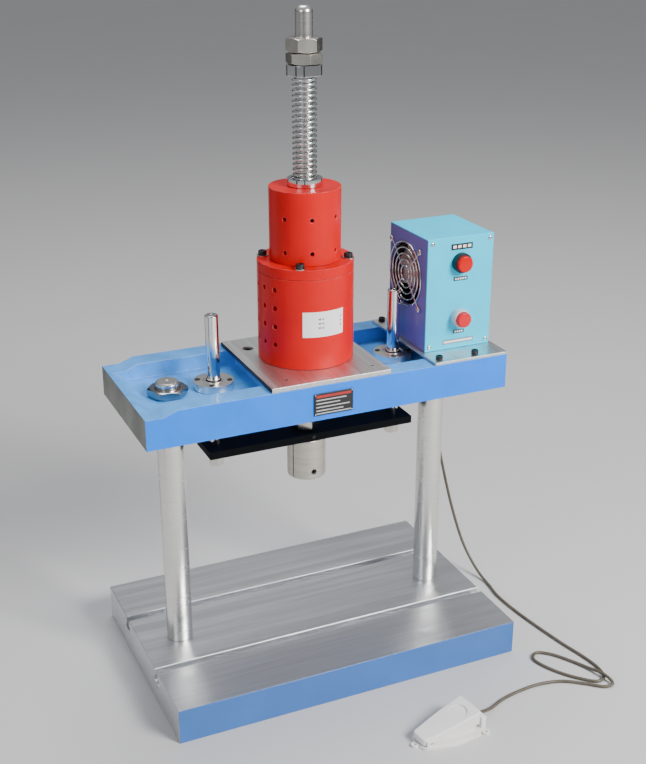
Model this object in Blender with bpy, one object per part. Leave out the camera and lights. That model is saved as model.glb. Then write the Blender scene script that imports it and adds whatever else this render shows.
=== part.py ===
"""Two-column electromagnetic bench press with a control box and a foot switch.

Metres, +Z up. The origin is the centre of the base plate's underside, +X runs along the base to the
control box's end, and -Y is the operator's side. A solenoid on the beam pulls a plunger down; the ram
rod, the crosshead with its two guide rods and the tool holder move with it, and a spring lifts them back.
"""

from math import atan2, cos, hypot, pi, radians, sin, sqrt

import bmesh
import bpy
from mathutils import Matrix, Vector

MM = 0.001

# ---------------------------------------------------------------- clearances
GAP = 0.3 * MM            # between pieces that touch or slide in one another
EDGE = 1.0 * MM           # small broken edge on machined blocks

# ---------------------------------------------------------------- base and columns
BASE_LENGTH = 450 * MM
BASE_WIDTH = 296 * MM
BASE_HEIGHT = 45 * MM
SLOT_OFFSET = 62 * MM     # T-slot centre from the base's centre line
SLOT_NECK = 10 * MM
SLOT_NECK_DEPTH = 9 * MM
SLOT_CHAMBER = 18 * MM
SLOT_CHAMBER_HEIGHT = 8 * MM

COLUMN_SPACING = 349 * MM
COLUMN_DIAMETER = 32 * MM
SPIGOT_DIAMETER = 24 * MM
SPIGOT_LENGTH = 30 * MM
COLUMN_STUB_DIAMETER = 28 * MM
COLUMN_STUB_ABOVE_NUT = 7.0 * MM
COLUMN_NUT_FLATS = 42 * MM
COLUMN_NUT_HEIGHT = 10 * MM
FOOT_SCREW_DIAMETER = 12 * MM
FOOT_SCREW_HEAD = 18 * MM
FOOT_SCREW_HEAD_HEIGHT = 8 * MM
FOOT_SCREW_THREAD = 22 * MM   # length of thread inside the column

# ---------------------------------------------------------------- beam
DAYLIGHT = 303.4 * MM     # base top to beam underside
BEAM_LENGTH = 456 * MM
BEAM_WIDTH = 179.4 * MM
BEAM_FLOOR = 24.6 * MM    # thickness under the tray
BEAM_RIM = 18.5 * MM      # rims' height over the tray's floor
TRAY_WIDTH = 124 * MM
END_LIP_HEIGHT = 12.0 * MM   # low left end's height over the tray's floor
END_LIP_LENGTH = 5 * MM
TRAY_RAMP_LENGTH = 20 * MM
RIM_LOW_LENGTH = 21 * MM     # low part of the rims at the left end
RIM_RAMP_LENGTH = 17 * MM
RIGHT_END_WALL = 23 * MM
RIB_OFFSET = 58 * MM      # ribs under the mounting plate
RIB_WIDTH = 20 * MM

# ---------------------------------------------------------------- mounting plate and solenoid
PLATE_LENGTH = 150 * MM
PLATE_CENTRE_X = -5 * MM
PLATE_WIDTH = 168.7 * MM
PLATE_THICKNESS = 5.5 * MM
PLATE_SCREW_Y = 43 * MM
PLATE_SCREW = 8 * MM
PLATE_SCREW_HEAD = 13 * MM
PLATE_SCREW_LENGTH = 22 * MM
PLATE_PIN_Y = -70 * MM
PLATE_PIN_SPACING = 109 * MM
PLATE_PIN_HOLE = 4.4 * MM

COIL_DIAMETER = 114 * MM
COIL_WALL = 12 * MM
COIL_HEIGHT = 107.7 * MM
COIL_VENT = 5.6 * MM
COIL_VENT_PITCH = 22.2 * MM
COIL_VENT_ROWS = 4
COIL_VENT_FIRST = 26.7 * MM   # lowest row over the housing's bottom
COIL_VENT_ANGLES = (62, 80, 98)
WINDING_ROOM = 2 * MM     # between the winding and the housing's bore
WINDING_BORE = 62 * MM
WINDING_HEIGHT = 102 * MM
COVER_THICKNESS = 12.2 * MM
COVER_SCREW_SHIFT = 0.5 * MM   # screws outside the middle of the housing's wall
COVER_SCREW = 6 * MM
COVER_SCREW_HEAD = 10 * MM
COVER_SCREW_HEAD_HEIGHT = 6 * MM
COVER_SCREW_GRIP = 10 * MM    # thread length in the housing's wall
COVER_SCREW_ANGLES = (30, 120, 210, 300)
SHELL_DIAMETER = 84 * MM
SHELL_WALL = 6 * MM
SHELL_HEIGHT = 84.5 * MM
SHELL_ROOF = 8 * MM
SHELL_VENT = 4.8 * MM
SHELL_VENT_ROWS = (14 * MM, 53 * MM)
SHELL_VENT_COUNT = 8
SHELL_VENT_PHASE = 12
PLUNGER_DIAMETER = 58 * MM
POLE_HEIGHT = 32.4 * MM
STROKE = 35 * MM

# ---------------------------------------------------------------- ram stack
ROD_DIAMETER = 20 * MM
ROD_NOSE = 33.3 * MM      # rounded end over the upper nut
ROD_NOSE_RADIUS = 7 * MM
SPRING_WIRE = 3.3 * MM
SPRING_ROOM = 0.9 * MM    # between the rod and the spring's inside
COLLAR_HEIGHT = 8.8 * MM
COLLAR_RECESS_DEPTH = 4.5 * MM
COLLAR_RECESS_ROOM = 1.3 * MM   # around the spring
COLLAR_WALL = 5 * MM
SPRING_LENGTH = 118 * MM
SPRING_TURNS = 20
SEAT_OVERHANG = 6.3 * MM      # seat past the spring
SEAT_HEIGHT = 11.7 * MM
RAM_NUT_FLATS = 36 * MM
LOWER_NUT_HEIGHT = 12.6 * MM
UPPER_NUT_HEIGHT = 16 * MM

CROSSHEAD_LENGTH = 268 * MM
CROSSHEAD_WIDTH = 50 * MM
CROSSHEAD_THICKNESS = 10 * MM
CROSSHEAD_DROP = 47.5 * MM   # beam underside to crosshead top, ram up
GUIDE_SPACING = 236 * MM
GUIDE_DIAMETER = 16 * MM
GUIDE_LENGTH = 161.8 * MM
GUIDE_BOLT = 10 * MM
GUIDE_BOLT_FLATS = 16 * MM
GUIDE_BOLT_HEAD = 15.6 * MM
GUIDE_BOLT_FLANGE = 20 * MM
GUIDE_BOLT_FLANGE_HEIGHT = 2 * MM
GUIDE_BOLT_THREAD = 18 * MM
BUSHING_FLANGE = 48 * MM
BUSHING_FLANGE_HEIGHT = 9 * MM
BUSHING_BODY = 28 * MM
BUSHING_SCREW_HOLE = 7 * MM
BUSHING_SCREW_DEPTH = 4 * MM
CENTRE_NUT_FLATS = 30 * MM
CENTRE_NUT_HEIGHT = 13 * MM
HOLDER_DIAMETER = 47.8 * MM
HOLDER_LENGTH = 52.8 * MM
HOLDER_SOCKET = 20 * MM
HOLDER_SOCKET_DEPTH = 34 * MM
HOLDER_SLIT = 1.4 * MM
HOLDER_SLIT_ANGLE = 66
SET_SCREW = 6 * MM
SET_SCREW_RISE = 10.5 * MM    # centre over the holder's lower end

# ---------------------------------------------------------------- control box
BRACKET_LEFT = 129 * MM
BRACKET_DEPTH = 171.7 * MM
BRACKET_THICKNESS = 3 * MM
BRACKET_SCREW = 5 * MM
BRACKET_SCREW_HEAD = 8.5 * MM
BRACKET_SCREW_HEAD_HEIGHT = 5 * MM
BRACKET_SCREW_GRIP = 10 * MM
BRACKET_SCREW_X = (139 * MM, 188 * MM)
BRACKET_SCREW_INSET = 9.7 * MM

BOX_LEFT = 134 * MM
BOX_WIDTH = 89.5 * MM
BOX_FRONT = -53 * MM
BOX_DEPTH = 96.5 * MM
BOX_HEIGHT = 140 * MM
SHEET = 2 * MM
FAN_SIZE = 80 * MM
FAN_DEPTH = 25 * MM
FAN_DUCT = 76 * MM
FAN_CENTRE_Y = 0 * MM
FAN_CENTRE_RISE = 85.4 * MM   # over the box's underside
FAN_HUB = 34 * MM
FAN_BLADES = 7
FAN_SCREW_SPACING = 71.5 * MM
FAN_SCREW_HOLE = 4.3 * MM
GUARD_WIRE = 1.9 * MM
GUARD_RINGS = (10 * MM, 17.5 * MM, 25 * MM, 32.5 * MM, 39.6 * MM)
BUTTON_X = 179 * MM
POWER_RISE = 108.6 * MM       # buttons' heights over the box's underside
LAMP_RISE = 39.8 * MM
POWER_BEZEL = 24 * MM
POWER_BEZEL_HEIGHT = 9 * MM
POWER_CAP = 20 * MM
POWER_CAP_PROUD = 4.5 * MM
LAMP_BEZEL = 23 * MM
LAMP_BEZEL_HEIGHT = 11 * MM
LAMP_CAP = 18.6 * MM
LAMP_CAP_PROUD = 6 * MM
BUTTON_BARREL = 16 * MM
BUTTON_BARREL_LENGTH = 18 * MM
BUTTON_TRAVEL = 3 * MM
GLAND_X = 203 * MM
GLAND_RISE = 17 * MM
GLAND_DIAMETER = 15 * MM
GLAND_LENGTH = 12 * MM
GLAND_THREAD = 12 * MM
UNIT_SIZE = (70 * MM, 56 * MM, 30 * MM)
NAMEPLATE_SIZE = (49 * MM, 1.2 * MM, 27 * MM)
NAMEPLATE_X = -4.5 * MM
NAMEPLATE_RISE = 20.5 * MM    # centre over the beam's underside

# ---------------------------------------------------------------- foot switch and its cable
SWITCH_PLACE = (62.9 * MM, -256.8 * MM)
SWITCH_TURN = 8               # degrees from +X
PEDAL_LENGTH = 76 * MM
PEDAL_FRONT_WIDTH = 22 * MM
PEDAL_REAR_WIDTH = 39 * MM
PEDAL_FRONT_HEIGHT = 12.5 * MM
PEDAL_REAR_HEIGHT = 28 * MM
PEDAL_WALL = 2 * MM
PEDAL_FRONT_SKIRT = 5 * MM    # skirt's lower edge over the floor
PEDAL_REAR_SKIRT = 12 * MM
PEDAL_TRAVEL = 6              # degrees
PIVOT_INSET = 9 * MM          # pin's centre from the pedal's low end
PIVOT_HEIGHT = 7 * MM
PIN_DIAMETER = 3 * MM
PIN_LENGTH = 15.6 * MM
SWITCH_FLOOR = 3 * MM
SWITCH_WALL = 1.6 * MM
CHEEK_LENGTH = 12 * MM        # guards beside the pedal's low end
CHEEK_HEIGHT = 10.5 * MM
CHEEK_THICKNESS = 1.8 * MM
EAR_RADIUS = 2.6 * MM         # pedal's ears, round below the pin
SWITCH_FRONT_WIDTH = 27 * MM
SWITCH_WIDTH = 53 * MM
SWITCH_WALL_REAR = 17 * MM    # inner wall's height at the cable's end
ENTRY_WIDTH = 38 * MM         # block that the cable goes into
ENTRY_LENGTH = 7 * MM
ENTRY_TOP = 18 * MM
ENTRY_HEIGHT = 10 * MM        # cable's centre over the floor
ENTRY_SWING = 2 * MM          # room for the pedal's end as it swings down
LUG_DIAMETER = 9 * MM
LUG_HOLE = 4 * MM
CABLE_DIAMETER = 4 * MM

# ---------------------------------------------------------------- derived heights and places
BEAM_Z = BASE_HEIGHT + DAYLIGHT
TRAY_Z = BEAM_Z + BEAM_FLOOR
RIM_Z = TRAY_Z + BEAM_RIM
PLATE_Z = RIM_Z + GAP
COIL_Z = PLATE_Z + PLATE_THICKNESS + GAP
COVER_Z = COIL_Z + COIL_HEIGHT + GAP
SHELL_Z = COVER_Z + COVER_THICKNESS + GAP
COLLAR_Z = SHELL_Z + SHELL_HEIGHT + GAP
SPRING_Z = COLLAR_Z + COLLAR_HEIGHT - COLLAR_RECESS_DEPTH + GAP
SEAT_Z = SPRING_Z + SPRING_LENGTH + GAP
LOWER_NUT_Z = SEAT_Z + SEAT_HEIGHT + GAP
UPPER_NUT_Z = LOWER_NUT_Z + LOWER_NUT_HEIGHT + GAP
ROD_TOP = UPPER_NUT_Z + UPPER_NUT_HEIGHT + ROD_NOSE
PLUNGER_TOP = SHELL_Z + SHELL_HEIGHT - SHELL_ROOF - GAP
PLUNGER_Z = COIL_Z + POLE_HEIGHT + GAP + STROKE
CROSSHEAD_TOP = BEAM_Z - CROSSHEAD_DROP
CROSSHEAD_Z = CROSSHEAD_TOP - CROSSHEAD_THICKNESS
HOLDER_TOP = CROSSHEAD_Z - GAP
HOLDER_Z = HOLDER_TOP - HOLDER_LENGTH
ROD_BOTTOM = HOLDER_Z + HOLDER_SOCKET_DEPTH + GAP
BRACKET_Z = RIM_Z + GAP
BOX_Z = BRACKET_Z + BRACKET_THICKNESS + GAP
BOX_TOP = BOX_Z + BOX_HEIGHT
BOX_RIGHT = BOX_LEFT + BOX_WIDTH
BOX_BACK = BOX_FRONT + BOX_DEPTH
FAN_Z = BOX_Z + FAN_CENTRE_RISE
COVER_SCREW_CIRCLE = COIL_DIAMETER - COIL_WALL - 2 * COVER_SCREW_SHIFT
WINDING_DIAMETER = COIL_DIAMETER - 2 * (COIL_WALL + WINDING_ROOM)
BUSHING_SCREW_CIRCLE = (BUSHING_FLANGE + BUSHING_BODY) / 2
SPRING_DIAMETER = ROD_DIAMETER + 2 * (SPRING_ROOM + SPRING_WIRE)
COLLAR_RECESS = SPRING_DIAMETER + 2 * COLLAR_RECESS_ROOM
COLLAR_DIAMETER = COLLAR_RECESS + 2 * COLLAR_WALL
SEAT_DIAMETER = SPRING_DIAMETER + 2 * SEAT_OVERHANG
BEAM_RIGHT = BEAM_LENGTH / 2
BEAM_FRONT = -BEAM_WIDTH / 2
COLUMN_X = COLUMN_SPACING / 2
GUIDE_X = GUIDE_SPACING / 2
BIG = 40                      # sides of the solenoid's housings
ROUND = 28                    # sides of the other large turned pieces
MEDIUM = 24                   # sides of rods, nuts' bores and columns
SMALL = 14                    # sides of screws and pins
HOLE = 10                     # sides of small holes


# ---------------------------------------------------------------- scene and materials
def clear_scene():
    for ob in list(bpy.data.objects):
        bpy.data.objects.remove(ob, do_unlink=True)


def material(name, colour, roughness, metallic=0.0):
    mat = bpy.data.materials.new(name)
    mat.use_nodes = True
    shader = mat.node_tree.nodes["Principled BSDF"]
    shader.inputs["Base Color"].default_value = (*colour, 1.0)
    shader.inputs["Roughness"].default_value = roughness
    shader.inputs["Metallic"].default_value = metallic
    mat.diffuse_color = (*colour, 1.0)
    return mat


def make_materials():
    return {
        "blue": material("blue_paint", (0.10, 0.36, 0.70), 0.45),
        "panel": material("panel_blue", (0.22, 0.60, 0.80), 0.40),
        "red": material("red_paint", (0.62, 0.03, 0.03), 0.38),
        "steel": material("ground_steel", (0.55, 0.55, 0.53), 0.38, 1.0),
        "bright": material("bright_steel", (0.80, 0.80, 0.80), 0.18, 1.0),
        "zinc": material("zinc_plate", (0.66, 0.65, 0.60), 0.32, 1.0),
        "black_steel": material("black_oxide", (0.02, 0.02, 0.022), 0.45, 0.6),
        "black": material("black_plastic", (0.02, 0.02, 0.02), 0.5),
        "copper": material("winding", (0.45, 0.18, 0.07), 0.45, 0.8),
        "board": material("board", (0.03, 0.16, 0.07), 0.55),
        "button": material("button_red", (0.75, 0.03, 0.03), 0.25),
        "cream": material("cream_plastic", (0.80, 0.78, 0.74), 0.45),
        "cable": material("cable_sheath", (0.16, 0.13, 0.08), 0.6),
        "plate": material("nameplate", (0.02, 0.02, 0.02), 0.35),
    }


# ---------------------------------------------------------------- making objects
def link(name, bm, mat, smooth=None):
    """Turns a bmesh into an object; smooth is the angle in degrees that stays rounded."""
    bmesh.ops.recalc_face_normals(bm, faces=bm.faces[:])
    mesh = bpy.data.meshes.new(name)
    bm.to_mesh(mesh)
    bm.free()
    if mat:
        mesh.materials.append(mat)
    if smooth:
        mesh.shade_smooth()
        mesh.set_sharp_from_angle(angle=radians(smooth))
    ob = bpy.data.objects.new(name, mesh)
    bpy.context.scene.collection.objects.link(ob)
    return ob


def box_bm(x0, x1, y0, y1, z0, z1):
    bm = bmesh.new()
    size = Matrix.Diagonal((x1 - x0, y1 - y0, z1 - z0, 1))
    centre = Matrix.Translation(((x0 + x1) / 2, (y0 + y1) / 2, (z0 + z1) / 2))
    bmesh.ops.create_cube(bm, size=1, matrix=centre @ size)
    return bm


def box(name, x0, x1, y0, y1, z0, z1, mat, bevel=0.0):
    bm = box_bm(x0, x1, y0, y1, z0, z1)
    if bevel:
        bmesh.ops.bevel(bm, geom=bm.edges[:], offset=bevel, segments=1, affect="EDGES")
    return link(name, bm, mat)


def turned_bm(profile, sides, closed=False, phase=0.0):
    """Revolves (radius, z) points about Z; points on the axis become single vertices."""
    bm = bmesh.new()
    rings = []
    for r, z in profile:
        if r < 1e-7:
            rings.append([bm.verts.new((0, 0, z))])
            continue
        turn = [2 * pi * k / sides + phase for k in range(sides)]
        rings.append([bm.verts.new((r * cos(a), r * sin(a), z)) for a in turn])
    pairs = list(zip(rings, rings[1:]))
    if closed:
        pairs.append((rings[-1], rings[0]))
    for lower, upper in pairs:
        for k in range(sides):
            corners = [lower[k % len(lower)], lower[(k + 1) % len(lower)],
                       upper[(k + 1) % len(upper)], upper[k % len(upper)]]
            unique = list(dict.fromkeys(corners))
            if len(unique) > 2:
                bm.faces.new(unique)
    return bm


def turned(name, profile, mat, sides=ROUND, closed=False, place=(0, 0, 0), turn=None, phase=0.0):
    ob = link(name, turned_bm(profile, sides, closed, phase), mat, smooth=35)
    ob.location = place
    if turn:
        ob.rotation_euler = turn
    return ob


def tube_profile(outer, inner, z0, z1, chamfer=0.0):
    c = chamfer
    if not c:
        return [(outer, z0), (outer, z1), (inner, z1), (inner, z0)]
    return [(outer - c, z0), (outer, z0 + c), (outer, z1 - c), (outer - c, z1), (inner, z1), (inner, z0)]


def rod_profile(r, z0, z1, chamfer=0.0):
    c = chamfer
    if not c:
        return [(0, z0), (r, z0), (r, z1), (0, z1)]
    return [(0, z0), (r - c, z0), (r, z0 + c), (r, z1 - c), (r - c, z1), (0, z1)]


def prism_bm(outline, z0, z1):
    """Extrudes an (x, y) outline from z0 to z1; each height may be a function of (x, y)."""
    low = z0 if callable(z0) else lambda x, y: z0
    high = z1 if callable(z1) else lambda x, y: z1
    bm = bmesh.new()
    bottom = [bm.verts.new((x, y, low(x, y))) for x, y in outline]
    top = [bm.verts.new((x, y, high(x, y))) for x, y in outline]
    bm.faces.new(bottom[::-1])
    bm.faces.new(top)
    for k in range(len(outline)):
        n = (k + 1) % len(outline)
        bm.faces.new((bottom[k], bottom[n], top[n], top[k]))
    return bm


def side_prism_bm(outline, y0, y1):
    """Extrudes an (x, z) outline along Y."""
    bm = bmesh.new()
    front = [bm.verts.new((x, y0, z)) for x, z in outline]
    back = [bm.verts.new((x, y1, z)) for x, z in outline]
    bm.faces.new(front)
    bm.faces.new(back[::-1])
    for k in range(len(outline)):
        n = (k + 1) % len(outline)
        bm.faces.new((front[n], front[k], back[k], back[n]))
    return bm


def hexagon(flats, corner_angle=0.0):
    r = flats / sqrt(3)
    return [(r * cos(radians(60 * k + corner_angle)), r * sin(radians(60 * k + corner_angle))) for k in range(6)]


def cutter(name, bm):
    ob = link(name, bm, None)
    ob.hide_render = True
    ob.display_type = "WIRE"
    return ob


def rod_cutter(name, radius, start, end, sides=HOLE):
    """A cylinder from start to end, for a hole in any direction."""
    start, end = Vector(start), Vector(end)
    bm = turned_bm(rod_profile(radius, 0, (end - start).length), sides)
    turn = (end - start).to_track_quat("Z", "Y").to_matrix().to_4x4()
    bm.transform(Matrix.Translation(start) @ turn)
    return cutter(name, bm)


def combine(ob, other, operation="DIFFERENCE"):
    mod = ob.modifiers.new(f"{operation.lower()}_{other.name}", "BOOLEAN")
    mod.operation = operation
    mod.solver = "EXACT"
    mod.object = other
    return ob


def around(radius, degrees, centre=(0, 0)):
    """A point on a circle, its angle counted from -Y towards -X as seen by the operator."""
    a = radians(degrees)
    return centre[0] - radius * sin(a), centre[1] - radius * cos(a)


def nut(name, flats, height, bore, mat, place, corner_angle):
    """A hexagon nut: six flats, both ends chamfered to a circle, plain bore."""
    corner = flats / sqrt(3)
    c = (corner - flats / 2) * 0.9
    blank = turned_bm([(0, 0), (flats / 2 * 0.97, 0), (corner + GAP, c), (corner + GAP, height - c),
                       (flats / 2 * 0.97, height), (0, height)], MEDIUM)
    ob = link(name, prism_bm(hexagon(flats, corner_angle), 0, height), mat)
    ob.location = place
    round_off = cutter(f"cut_{name}_chamfer", blank)
    round_off.parent = ob
    combine(ob, round_off, "INTERSECT")
    hole = cutter(f"cut_{name}_bore", turned_bm(rod_profile(bore, -height, 2 * height), MEDIUM))
    hole.parent = ob
    return combine(ob, hole)


# ---------------------------------------------------------------- base and columns
def build_base(mats):
    base = box("base_plate", -BASE_LENGTH / 2, BASE_LENGTH / 2, -BASE_WIDTH / 2, BASE_WIDTH / 2,
               0, BASE_HEIGHT, mats["blue"], bevel=EDGE)
    top = BASE_HEIGHT
    neck_z = top - SLOT_NECK_DEPTH
    over = BASE_LENGTH / 2 + 5 * MM
    for tag, y in (("front", -SLOT_OFFSET), ("rear", SLOT_OFFSET)):
        n, c, low = SLOT_NECK / 2, SLOT_CHAMBER / 2, neck_z - SLOT_CHAMBER_HEIGHT
        tee = [(-c, low), (c, low), (c, neck_z), (n, neck_z), (n, top + MM), (-n, top + MM), (-n, neck_z),
               (-c, neck_z)]
        bm = side_prism_bm(tee, -over, over)
        bm.transform(Matrix.Translation((0, y, 0)) @ Matrix.Rotation(radians(90), 4, "Z"))
        combine(base, cutter(f"cut_{tag}_slot", bm))
    seat_z = top - SPIGOT_LENGTH
    for tag, x in (("left", -COLUMN_X), ("right", COLUMN_X)):
        head = FOOT_SCREW_HEAD / 2 + 2 * GAP
        head_top = FOOT_SCREW_HEAD_HEIGHT + 4 * GAP
        shank = FOOT_SCREW_DIAMETER / 2 + GAP
        spigot = SPIGOT_DIAMETER / 2 + GAP
        bore = turned_bm([(0, -MM), (head, -MM), (head, head_top), (shank, head_top), (shank, seat_z),
                          (spigot, seat_z), (spigot, top + MM), (0, top + MM)], MEDIUM)
        hole = cutter(f"cut_{tag}_column_seat", bore)
        hole.location = (x, 0, 0)
        combine(base, hole)
        build_column(tag, x, seat_z, head_top, mats)


def build_column(tag, x, seat_z, head_top, mats):
    r, spigot, stub = COLUMN_DIAMETER / 2, SPIGOT_DIAMETER / 2, COLUMN_STUB_DIAMETER / 2
    foot, shoulder = BASE_HEIGHT + GAP, BEAM_Z - GAP
    bore = FOOT_SCREW_DIAMETER / 2 + GAP
    bore_top = seat_z + FOOT_SCREW_THREAD
    nut_z = TRAY_Z + GAP
    tip = nut_z + COLUMN_NUT_HEIGHT + COLUMN_STUB_ABOVE_NUT
    turned(f"{tag}_column",
           [(bore, seat_z + GAP), (spigot, seat_z + GAP), (spigot, foot), (r, foot), (r, shoulder),
            (stub, shoulder), (stub, tip - 1.5 * MM), (stub - 1.5 * MM, tip), (0, tip),
            (0, bore_top), (bore, bore_top)],
           mats["steel"], sides=MEDIUM, closed=True, place=(x, 0, 0))
    shank_top = bore_top - 2 * MM
    head_low = head_top - FOOT_SCREW_HEAD_HEIGHT - GAP
    turned(f"{tag}_column_screw",
           [(0, head_low), (FOOT_SCREW_HEAD / 2, head_low), (FOOT_SCREW_HEAD / 2, head_top - GAP),
            (FOOT_SCREW_DIAMETER / 2, head_top - GAP), (FOOT_SCREW_DIAMETER / 2, shank_top), (0, shank_top)],
           mats["black_steel"], sides=SMALL, place=(x, 0, 0))
    nut(f"{tag}_column_nut", COLUMN_NUT_FLATS, COLUMN_NUT_HEIGHT, stub + GAP, mats["zinc"],
        (x, 0, nut_z), 50)


# ---------------------------------------------------------------- beam
def build_beam(mats):
    half, front, back = BEAM_LENGTH / 2, BEAM_FRONT, -BEAM_FRONT
    beam = box("beam", -half, half, front, back, BEAM_Z, RIM_Z, mats["blue"])
    lip_z = TRAY_Z + END_LIP_HEIGHT
    over = RIM_Z + 10 * MM
    low_end = -half + RIM_LOW_LENGTH
    slope = RIM_RAMP_LENGTH / (RIM_Z - lip_z)
    rims = [(-half - MM, lip_z), (low_end, lip_z), (low_end + slope * (over - lip_z), over), (-half - MM, over)]
    combine(beam, cutter("cut_low_end", side_prism_bm(rims, front - MM, back + MM)))
    tray = TRAY_WIDTH / 2
    ramp = -half + END_LIP_LENGTH
    rib_out, rib_in = RIB_OFFSET + RIB_WIDTH / 2, RIB_OFFSET - RIB_WIDTH / 2
    left = [(ramp, lip_z), (ramp + TRAY_RAMP_LENGTH, TRAY_Z), (-rib_out, TRAY_Z), (-rib_out, over),
            (ramp, over)]
    combine(beam, cutter("cut_left_tray", side_prism_bm(left, -tray, tray)))
    for tag, x0, x1 in (("middle", -rib_in, rib_in), ("right", rib_out, half - RIGHT_END_WALL)):
        combine(beam, cutter(f"cut_{tag}_tray", box_bm(x0, x1, -tray, tray, TRAY_Z, over)))
    bores = [("ram", 0, ROD_DIAMETER / 2 + 3 * MM), ("left_bushing", -GUIDE_X, BUSHING_BODY / 2 + GAP),
             ("right_bushing", GUIDE_X, BUSHING_BODY / 2 + GAP),
             ("left_stub", -COLUMN_X, COLUMN_STUB_DIAMETER / 2 + GAP),
             ("right_stub", COLUMN_X, COLUMN_STUB_DIAMETER / 2 + GAP)]
    for tag, x, r in bores:
        combine(beam, rod_cutter(f"cut_{tag}_bore", r, (x, 0, BEAM_Z - MM), (x, 0, RIM_Z + MM), MEDIUM))
    for tag, x in plate_screw_places():
        hole_low = PLATE_Z + PLATE_THICKNESS - PLATE_SCREW_LENGTH - 2 * MM
        combine(beam, rod_cutter(f"cut_beam_{tag}", PLATE_SCREW / 2 + GAP, (x, PLATE_SCREW_Y, hole_low),
                                 (x, PLATE_SCREW_Y, over)))
    for tag, x, y in bracket_screw_places():
        combine(beam, rod_cutter(f"cut_beam_bracket_{tag}", BRACKET_SCREW / 2 + GAP,
                                 (x, y, RIM_Z - BRACKET_SCREW_GRIP - MM), (x, y, over)))
    w, t, h = NAMEPLATE_SIZE
    z = BEAM_Z + NAMEPLATE_RISE
    box("nameplate", NAMEPLATE_X - w / 2, NAMEPLATE_X + w / 2, front - GAP - t, front - GAP,
        z - h / 2, z + h / 2, mats["plate"])


def plate_screw_places():
    return [("left_screw", -RIB_OFFSET), ("right_screw", RIB_OFFSET)]


def bracket_screw_places():
    front = BEAM_FRONT + BRACKET_SCREW_INSET
    back = BEAM_FRONT + BRACKET_DEPTH - BRACKET_SCREW_INSET
    near, far = BRACKET_SCREW_X
    return [("1", near, front), ("2", far, front), ("3", near, back), ("4", far, back)]


# ---------------------------------------------------------------- mounting plate and solenoid
def build_mounting_plate(mats):
    x0, x1 = PLATE_CENTRE_X - PLATE_LENGTH / 2, PLATE_CENTRE_X + PLATE_LENGTH / 2
    top = PLATE_Z + PLATE_THICKNESS
    plate = box("mounting_plate", x0, x1, BEAM_FRONT, BEAM_FRONT + PLATE_WIDTH, PLATE_Z, top, mats["steel"],
                bevel=0.5 * MM)
    r = ROD_DIAMETER / 2 + 3 * MM
    combine(plate, rod_cutter("cut_plate_bore", r, (0, 0, PLATE_Z - MM), (0, 0, top + MM), MEDIUM))
    head, shank = PLATE_SCREW_HEAD / 2, PLATE_SCREW / 2
    cone = head - shank
    sunk = 1.0 * MM
    for tag, x in plate_screw_places():
        side = tag.split("_")[0]
        profile = [(0, -PLATE_THICKNESS - MM), (shank + GAP, -PLATE_THICKNESS - MM), (shank + GAP, -cone - sunk),
                   (head + GAP, -sunk), (head + GAP, MM), (0, MM)]
        hole = cutter(f"cut_plate_{tag}", turned_bm(profile, SMALL))
        hole.location = (x, PLATE_SCREW_Y, top)
        combine(plate, hole)
        deep = sunk + GAP
        turned(f"plate_screw_{side}",
               [(0, -PLATE_SCREW_LENGTH), (shank, -PLATE_SCREW_LENGTH), (shank, -cone - deep), (head, -deep),
                (0, -deep)], mats["black_steel"], sides=SMALL, place=(x, PLATE_SCREW_Y, top))
    for tag, x in (("left", -PLATE_PIN_SPACING / 2), ("right", PLATE_PIN_SPACING / 2)):
        combine(plate, rod_cutter(f"cut_{tag}_pin", PLATE_PIN_HOLE / 2, (x, PLATE_PIN_Y, PLATE_Z - MM),
                                  (x, PLATE_PIN_Y, top + MM)))


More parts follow.
